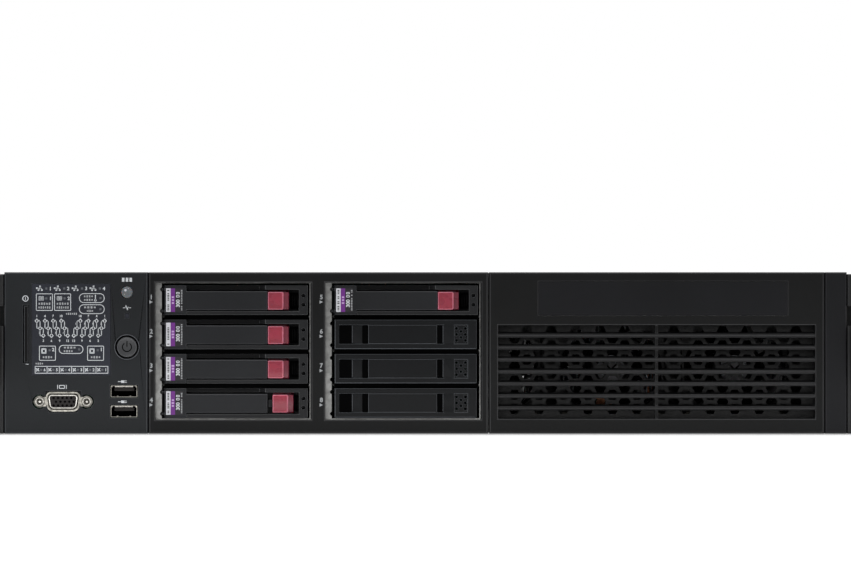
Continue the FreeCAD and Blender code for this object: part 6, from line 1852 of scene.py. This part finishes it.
@dataclass
class HeatSinks:
    """Close-set fins over a copper base, with heat pipes and spring screws."""

    fins: int = 34
    fin: float = 0.45
    base: float = 6.0
    width: float = 85.0

    def build(self) -> None:
        """Model both heatsinks."""
        box = extent("heatsinks")
        form = Form()
        for left in (box.x0, box.x1 - self.width):
            self.sink(form, box, left)
        finish_piece(form, "processor_coolers", "chassis",
                     (FIN, COPPER, SCREW, SHADE_AND_SYMBOL_BLACK), replaces=("heatsinks",))

    def sink(self, form: Form, box: Extent, left: float) -> None:
        """One heatsink from its left side."""
        deep = (box.y0, box.y1)
        form.block((left, left + self.width), deep, (box.z0, box.z0 + self.base), 0.4, 1)
        for k in range(self.fins):
            x = left + 0.4 + (self.width - 0.8) * k / (self.fins - 1)
            form.block(span(x, self.fin), deep, (box.z0 + self.base - 0.2, box.z1))
        for x in row(left + 14, (self.width - 28) / 3, 4):
            for y in (box.y0 + 20, box.y1 - 20):
                form.disc((x, y), 3.0, (box.z0 + 2, box.z1 + 0.5), 0.6, 1, 18)
        for x in (left + 7.5, left + self.width - 7.5):
            for y in (box.y0 + 9, box.y1 - 9):
                form.disc((x, y), 4.2, (box.z1 - 1.0, box.z1 + 0.6), 0.2, 2, 20)
                screw_head(form, (x, y), 2.7, box.z1 + 0.6, 1.0, 2, 3)


# ================================================================ boards
@dataclass
class MemoryBank:
    """Memory modules with chips, gold contacts and latches, in slotted sockets."""

    pitch: float = 9.0
    count: int = 9
    centres: Pair = (-165.0, 15.0)
    chips: int = 9
    chip_pitch: float = 14.3

    def build(self) -> None:
        """Model all the modules."""
        box = extent("memory_modules")
        form = Form()
        for centre in self.centres:
            for x in row(centre - self.pitch * (self.count - 1) / 2, self.pitch, self.count):
                self.module(form, x, box)
        finish_piece(form, "memory_sticks", "chassis",
                     (BOARD, CHIP_RESIN, GOLD, NYLON, WHITE_LABEL_AND_HIGHLIGHT), replaces=("memory_modules",))

    def module(self, form: Form, x: float, box: Extent) -> None:
        """One module with nine chips a side."""
        foot = box.z0
        form.block(span(x, 1.3), (box.y0, box.y1), (foot, box.z1), 0.1)
        for y in row(box.y0 + 9.5, self.chip_pitch, self.chips):
            form.brick((x, y), (3.4, 8.8), (foot + 7, foot + 19), 0.1, 1)
        form.block(span(x, 1.5), (box.y0 + 4, box.y1 - 4), (foot, foot + 3.0), 0, 2)
        form.block(span(x, 3.5), (box.y0 + 45, box.y0 + 80), (foot + 9, foot + 17), 0, 4)
        for y in (box.y0 - 0.1, box.y1 - 4.2):
            form.block(span(x, 5.0), (y, y + 4.3), (foot - 8.0, foot + 9.0), 0.6, 3)


@dataclass
class BoardDetails:
    """Chips, coils, capacitors, plugs, sockets and a cell on the system board."""

    seed: int = 11
    top: float = 8.8
    regulators_left: Pair = (-32.0, 150.0)
    cell_right: float = 180.0
    risers: Pair = (-62.0, 68.0)
    packages: int = 46
    passives: int = 240

    def build(self) -> None:
        """Populate the board's free areas."""
        board = extent("system_board")
        rng = random.Random(self.seed)
        form = Form()
        self.regulators(form, board)
        self.connectors(form, board)
        self.small_parts(form, board, rng)
        finish_piece(form, "board_parts", "chassis",
                     (CHIP_RESIN, SCREW, NYLON, PALE_NYLON, GOLD, BLUE_NYLON, WHITE_LABEL_AND_HIGHLIGHT))

    def regulators(self, form: Form, board: Extent) -> None:
        """Coils and tin capacitors beside the processors."""
        top = self.top
        for left in self.regulators_left:
            for y in row(board.y0 + 24, 15, 6):
                form.brick((left + 5, y), (10.0, 10.0), (top, top + 7.5), 1.2)
                form.turned((left + 18, y), [(4.0, top), (4.0, top + 8.2), (3.6, top + 9.0),
                                             (2.6, top + 9.0), (2.4, top + 8.8),
                                             (0.0, top + 8.8)], 16, 1)

    def connectors(self, form: Form, board: Extent) -> None:
        """Plug rows, storage plugs, a cell in its holder and a service strip."""
        top = self.top
        for k, paint in enumerate((2, 3, 2)):
            form.block((172.0, 200.0), span(board.y1 - 150 + 22 * k, 9.0), (top, top + 11.0),
                       0.5, paint)
        for k in range(2):
            form.brick((-118.0 + 34 * k, board.y0 + 160), (26.0, 7.5), (top, top + 9.0), 0.4, 5)
        cell = (self.cell_right, board.y0 + 150)
        form.disc(cell, 11.0, (top, top + 3.0), 0.4, 2, 32)
        form.disc(cell, 10.0, (top + 1.0, top + 4.6), 0.4, 1, 32)
        for x in row(-8, 2.54, 14):
            form.brick((x, board.y0 + 172), (0.64, 0.64), (top, top + 8.0), 0, 4)
        for x in self.risers:
            form.block((x - 57.5, x - 52.6), (board.y1 - 150, board.y1 - 20), (top, top + 9.5),
                       0.5, 2)

    def small_parts(self, form: Form, board: Extent, rng: random.Random) -> None:
        """Packages and passives scattered between the larger parts."""
        top = self.top
        for _ in range(self.packages):
            x = rng.uniform(board.x0 + 98, board.x1 - 8)
            y = rng.uniform(board.y0 + 150, board.y1 - 8)
            size = rng.choice((4.0, 6.0, 9.0, 13.0))
            form.brick((x, y), (size, size * rng.choice((0.7, 1.0))),
                       (top, top + rng.choice((1.0, 1.6))), 0.12)
        for _ in range(self.passives):
            x = rng.uniform(board.x0 + 98, board.x1 - 5)
            y = rng.uniform(board.y0 + 140, board.y1 - 5)
            form.brick((x, y), (1.6, 0.9), (top, top + 0.7), 0, rng.choice((1, 3, 0)),
                       rng.choice((0, 90)))


# ================================================================ rear
@dataclass
class SupplyDetails:
    """Inlet pins, vent mesh, lamp, screws and seams of one power supply."""

    level: int
    width: float = 86.0
    inlet_offset: float = -24.0
    handle_offset: float = 12.0
    lamp_offset: float = 34.0
    screw_offset: float = -39.0
    mesh: tuple[int, int] = (9, 7)
    mesh_pitch: Pair = (3.5, 3.7)

    def __post_init__(self) -> None:
        """Take the supply's place from its node."""
        self.name = ("lower", "upper")[self.level]
        box = extent(f"power_supply_{self.name}")
        self.middle = box.x0 + self.width / 2
        self.up = box.middle.z
        self.rear = extent("chassis_tray").y1
        self.form = Form()

    def build(self) -> None:
        """Model what is seen on the supply."""
        form, middle, up, rear = self.form, self.middle, self.up, self.rear
        self.inlet(-(middle + self.inlet_offset))
        self.vent(-(middle + self.handle_offset))
        form.disc((-(middle + self.lamp_offset), up + 12.0), 1.5, (rear - 0.1, rear + 0.6), 0.5,
                  3, 16)
        for lift in (-1, 1):
            screw_head(form, (-(middle + self.screw_offset), up + lift * 16.5), 2.0, rear, 0.7, 2)
        for side in (-1, 1):
            form.brick((-middle + side * 40.5, up), (1.0, 37.0), (rear - 0.1, rear + 0.25), 0.1)
        finish_piece(form, f"supply_details_{self.name}", f"power_supply_{self.name}",
                     (CASE_STEEL, NYLON, SCREW, GREEN_LENS), Facing.REAR)

    def inlet(self, across: float) -> None:
        """Mains inlet with three pins."""
        rear = self.rear
        self.form.panel((across, self.up), (27.0, 19.5), (rear - 0.3, rear + 0.5), 3.0, 0.3, 1,
                        2.2)
        for shift, lift in ((0.0, 3.0), (-7.0, -2.0), (7.0, -2.0)):
            self.form.brick((across + shift, self.up + lift), (2.0, 5.0),
                            (rear - 15.0, rear - 4.0), 0.4, 2)

    def vent(self, across: float) -> None:
        """Framed mesh of six-sided holes in front of the supply's fan."""
        rear = self.rear
        self.form.panel((across, self.up), (33.0, 27.0), (rear - 0.2, rear + 0.3), 2.0, 0.15, 1,
                        1.6)
        wide, tall = self.mesh_pitch
        for k in range(self.mesh[0]):
            for n in range(self.mesh[1]):
                place = (across + (k - 4) * wide,
                         self.up + (n - 3) * tall + (k % 2) * tall / 2 - 0.9)
                self.form.disc(place, 1.9, (rear - 0.1, rear + 0.12), 0.05, 1, 6, 1.45)


@dataclass
class RearPorts:
    """Contacts, lamps, D-shaped shells with pins, and slot-cover screws of the rear."""

    jacks: Sequence[float] = (-52.0, -35.0, 12.0, 29.0)
    usb: Pair = (58.0, 76.0)
    video: float = -95.0
    serial: float = 104.0
    risers: Pair = (-62.0, 68.0)
    slot_lifts: Sequence[float] = (33.5, 52.5, 71.5)
    jack_lift: float = 15.75
    d_lift: float = 15.15
    pin_pitch: float = 2.6
    pin_rise: float = 4.4

    def __post_init__(self) -> None:
        """Take the wall's face from the tray."""
        self.face = extent("chassis_tray").y1 - 0.4
        self.form = Form()

    def build(self) -> None:
        """Model the port row."""
        for x in self.jacks:
            self.jack(-x)
        for x in self.usb:
            self.usb_port(-x)
        for x, paint, rows in ((self.video, 3, (5, 5, 5)), (self.serial, 1, (5, 4))):
            self.d_port(-x, paint, rows)
        for x in self.risers:
            for lift in self.slot_lifts:
                screw_head(self.form, (-x - 57.0, lift), 2.2, self.face + 0.4, 0.9, 2, 4)
        finish_piece(self.form, "rear_port_details", "chassis",
                     (NICKEL, NYLON, SCREW, BLUE_NYLON, SHADE_AND_SYMBOL_BLACK, GREEN_LENS, AMBER_LENS, GOLD),
                     Facing.REAR)

    def jack(self, across: float) -> None:
        """Shielded network jack with eight contacts and two lamps."""
        form, face, up = self.form, self.face, self.jack_lift
        form.panel((across, up), (14.8, 13.0), (face - 0.1, face + 0.35), 0.5, 0.1, 0, 1.3)
        for k in range(8):
            form.block(span(across + (k - 3.5) * 1.02, 0.45), (up + 2.4, up + 3.6),
                       (face - 9.0, face - 2.0), 0, 7)
        for side, paint in ((-1, 5), (1, 6)):
            form.brick((across + side * 5.0, up + 5.4), (2.6, 1.5), (face - 0.1, face + 0.5),
                       0.15, paint)

    def usb_port(self, across: float) -> None:
        """Shielded USB port."""
        form, face, up = self.form, self.face, self.jack_lift
        form.panel((across, up), (14.6, 7.6), (face - 0.1, face + 0.4), 0.6, 0.1, 0, 0.8)
        form.block(span(across, 10.6), (up + 0.2, up + 1.9), (face - 9.0, face - 1.0), 0.2, 1)

    def d_port(self, across: float, paint: int, rows: Sequence[int]) -> None:
        """D-shaped port: flange, drawn shell, insert, pins and jack nuts.

        Args:
            across: where its middle is.
            paint: index of the insert's finish.
            rows: number of pins in each row from the top.
        """
        form, face, up = self.form, self.face, self.d_lift
        form.panel((across, up), (30.4, 12.0), (face - 0.1, face + 0.6), 1.5, 0.2)
        corners = [(across - 7.4, up - 4.5), (across + 7.4, up - 4.5),
                   (across + 8.7, up + 4.5), (across - 8.7, up + 4.5)]
        form.plate(corners, (face + 0.4, face + 5.2), 2.0, 0.3, 0, 0.6)
        inner = [(across + (u - across) * 0.88, up + (v - up) * 0.82) for u, v in corners]
        form.plate(inner, (face + 0.4, face + 5.04), 1.6, 0, paint)
        step = self.pin_rise / max(1, len(rows) - 1)
        # Painted shade: the pin places are near-black discs.
        for level, count in enumerate(rows):
            for k in range(count):
                pin = (across + (k - (count - 1) / 2) * self.pin_pitch, up + 2.2 - level * step)
                form.disc(pin, 0.55, (face + 5.0, face + 5.07), 0, 4, 10)
        for side in (-1, 1):
            form.turned((across + side * 12.5, up), [(2.9, face + 0.5), (2.9, face + 4.2),
                                                     (2.5, face + 4.8), (1.7, face + 4.8),
                                                     (1.4, face + 4.4), (1.4, face + 1.0),
                                                     (0.0, face + 1.0)], 6, 2)


# ================================================================ studio
@dataclass
class Studio:
    """Level camera, plain pale floor and soft lamps."""

    distance: float = 2.1
    eye: float = 0.0799
    view_width: float = 0.4527
    sensor: float = 36.0
    world_level: float = 0.55

    def build(self) -> None:
        """Set up the camera, the floor, the lamps and the world."""
        scene = bpy.context.scene
        scene.view_settings.view_transform = "Standard"
        face = extent("bay_bezel").y0 * MM
        data = bpy.data.cameras.new("camera")
        data.sensor_width = self.sensor
        data.lens = self.sensor * self.distance / self.view_width
        data.clip_end = 50.0
        camera = bpy.data.objects.new("camera", data)
        camera.location = (0.0, face - self.distance, self.eye)
        camera.rotation_euler = (math.pi / 2, 0.0, 0.0)
        scene.collection.objects.link(camera)
        scene.camera = camera
        self.floor()
        self.world()
        self.lamp("key", (-0.9, face - 1.5, 1.7), (0.0, face, 0.04), 1.8, 14.5)
        self.lamp("fill", (1.5, face - 1.1, 0.9), (0.1, face, 0.04), 1.5, 6.0)
        self.lamp("top", (0.0, 0.1, 1.9), (0.0, 0.0, 0.0), 1.8, 10.0)
        self.lamp("rear", (-0.6, 1.9, 1.2), (0.0, 0.2, 0.05), 1.6, 9.0)
        bounce = self.lamp("bounce", (0.0, face - 0.06, 0.003), (0.0, face, 0.03), 0.62, 0.16)
        bounce.data.shape = "RECTANGLE"
        bounce.data.size_y = 0.04
        bounce.visible_camera = False

    def lamp(self, name: str, place: Sequence[float], aim: Sequence[float], size: float,
             power: float) -> bpy.types.Object:
        """Square soft lamp aimed at a point."""
        data = bpy.data.lights.new(name, "AREA")
        data.shape = "SQUARE"
        data.size = size
        data.energy = power
        holder = bpy.data.objects.new(name, data)
        holder.location = place
        holder.rotation_euler = (Vector(aim) - Vector(place)).to_track_quat("-Z", "Y").to_euler()
        bpy.context.scene.collection.objects.link(holder)
        return holder

    def white_share(self, tree: bpy.types.NodeTree) -> bpy.types.NodeSocket:
        """Socket that is one for camera, glossy and transmission rays."""
        path = tree.nodes.new("ShaderNodeLightPath")
        first = tree.nodes.new("ShaderNodeMath")
        second = tree.nodes.new("ShaderNodeMath")
        first.operation = second.operation = "MAXIMUM"
        tree.links.new(path.outputs["Is Camera Ray"], first.inputs[0])
        tree.links.new(path.outputs["Is Glossy Ray"], first.inputs[1])
        tree.links.new(first.outputs[0], second.inputs[0])
        tree.links.new(path.outputs["Is Transmission Ray"], second.inputs[1])
        return second.outputs[0]

    def world(self) -> None:
        """White surroundings for the camera and for gloss, soft light for the rest."""
        world = bpy.data.worlds.new("studio")
        world.use_nodes = True
        tree = world.node_tree
        background = tree.nodes["Background"]
        background.inputs["Color"].default_value = (1.0, 1.0, 1.0, 1.0)
        level = tree.nodes.new("ShaderNodeMapRange")
        level.inputs["To Min"].default_value = self.world_level
        level.inputs["To Max"].default_value = 1.0
        tree.links.new(self.white_share(tree), level.inputs["Value"])
        tree.links.new(level.outputs["Result"], background.inputs["Strength"])
        bpy.context.scene.world = world

    def floor(self) -> None:
        """Pale floor that the camera sees as white outside the shadow."""
        part = bmesh.new()
        bmesh.ops.create_circle(part, cap_ends=True, segments=96, radius=9.0)
        bmesh.ops.translate(part, vec=(0, 0, -0.0006), verts=part.verts)
        mesh = bpy.data.meshes.new("floor")
        part.to_mesh(mesh)
        part.free()
        material = bpy.data.materials.new("floor_pale")
        material.use_nodes = True
        tree = material.node_tree
        shader = tree.nodes["Principled BSDF"]
        shader.inputs["Base Color"].default_value = (0.82, 0.82, 0.82, 1.0)
        shader.inputs["Roughness"].default_value = 0.9
        shader.inputs["Specular IOR Level"].default_value = 0.1
        shader.inputs["Emission Color"].default_value = (1.0, 1.0, 1.0, 1.0)
        level = tree.nodes.new("ShaderNodeMapRange")
        level.inputs["To Min"].default_value = 0.0
        level.inputs["To Max"].default_value = 0.42
        tree.links.new(self.white_share(tree), level.inputs["Value"])
        tree.links.new(level.outputs["Result"], shader.inputs["Emission Strength"])
        mesh.materials.append(material)
        floor = bpy.data.objects.new("floor", mesh)
        bpy.context.scene.collection.objects.link(floor)


def main() -> None:
    """Dress the nodes, add every piece in order and set up the studio."""
    logging.basicConfig(level=logging.INFO, format="%(name)s %(message)s")
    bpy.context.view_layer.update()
    NodeDresser().build()
    StatusPrint().build()
    ControlMarks().build()
    BayNumbers().build()
    CageShade().build()
    PushButtons().build()
    MonitorPort().build()
    UsbPorts().build()
    for bay in range(1, 6):
        DriveCarrier(bay).build()
    for bay in range(6, 9):
        BlankFace(bay).build()
    for side in (-1, 1):
        EarHardware(side).build()
    CoverDetails().build()
    TrayDetails().build()
    FanBank().build()
    HeatSinks().build()
    MemoryBank().build()
    BoardDetails().build()
    for level in range(2):
        SupplyDetails(level).build()
    RearPorts().build()
    Studio().build()


if __name__ == "__main__":
    main()
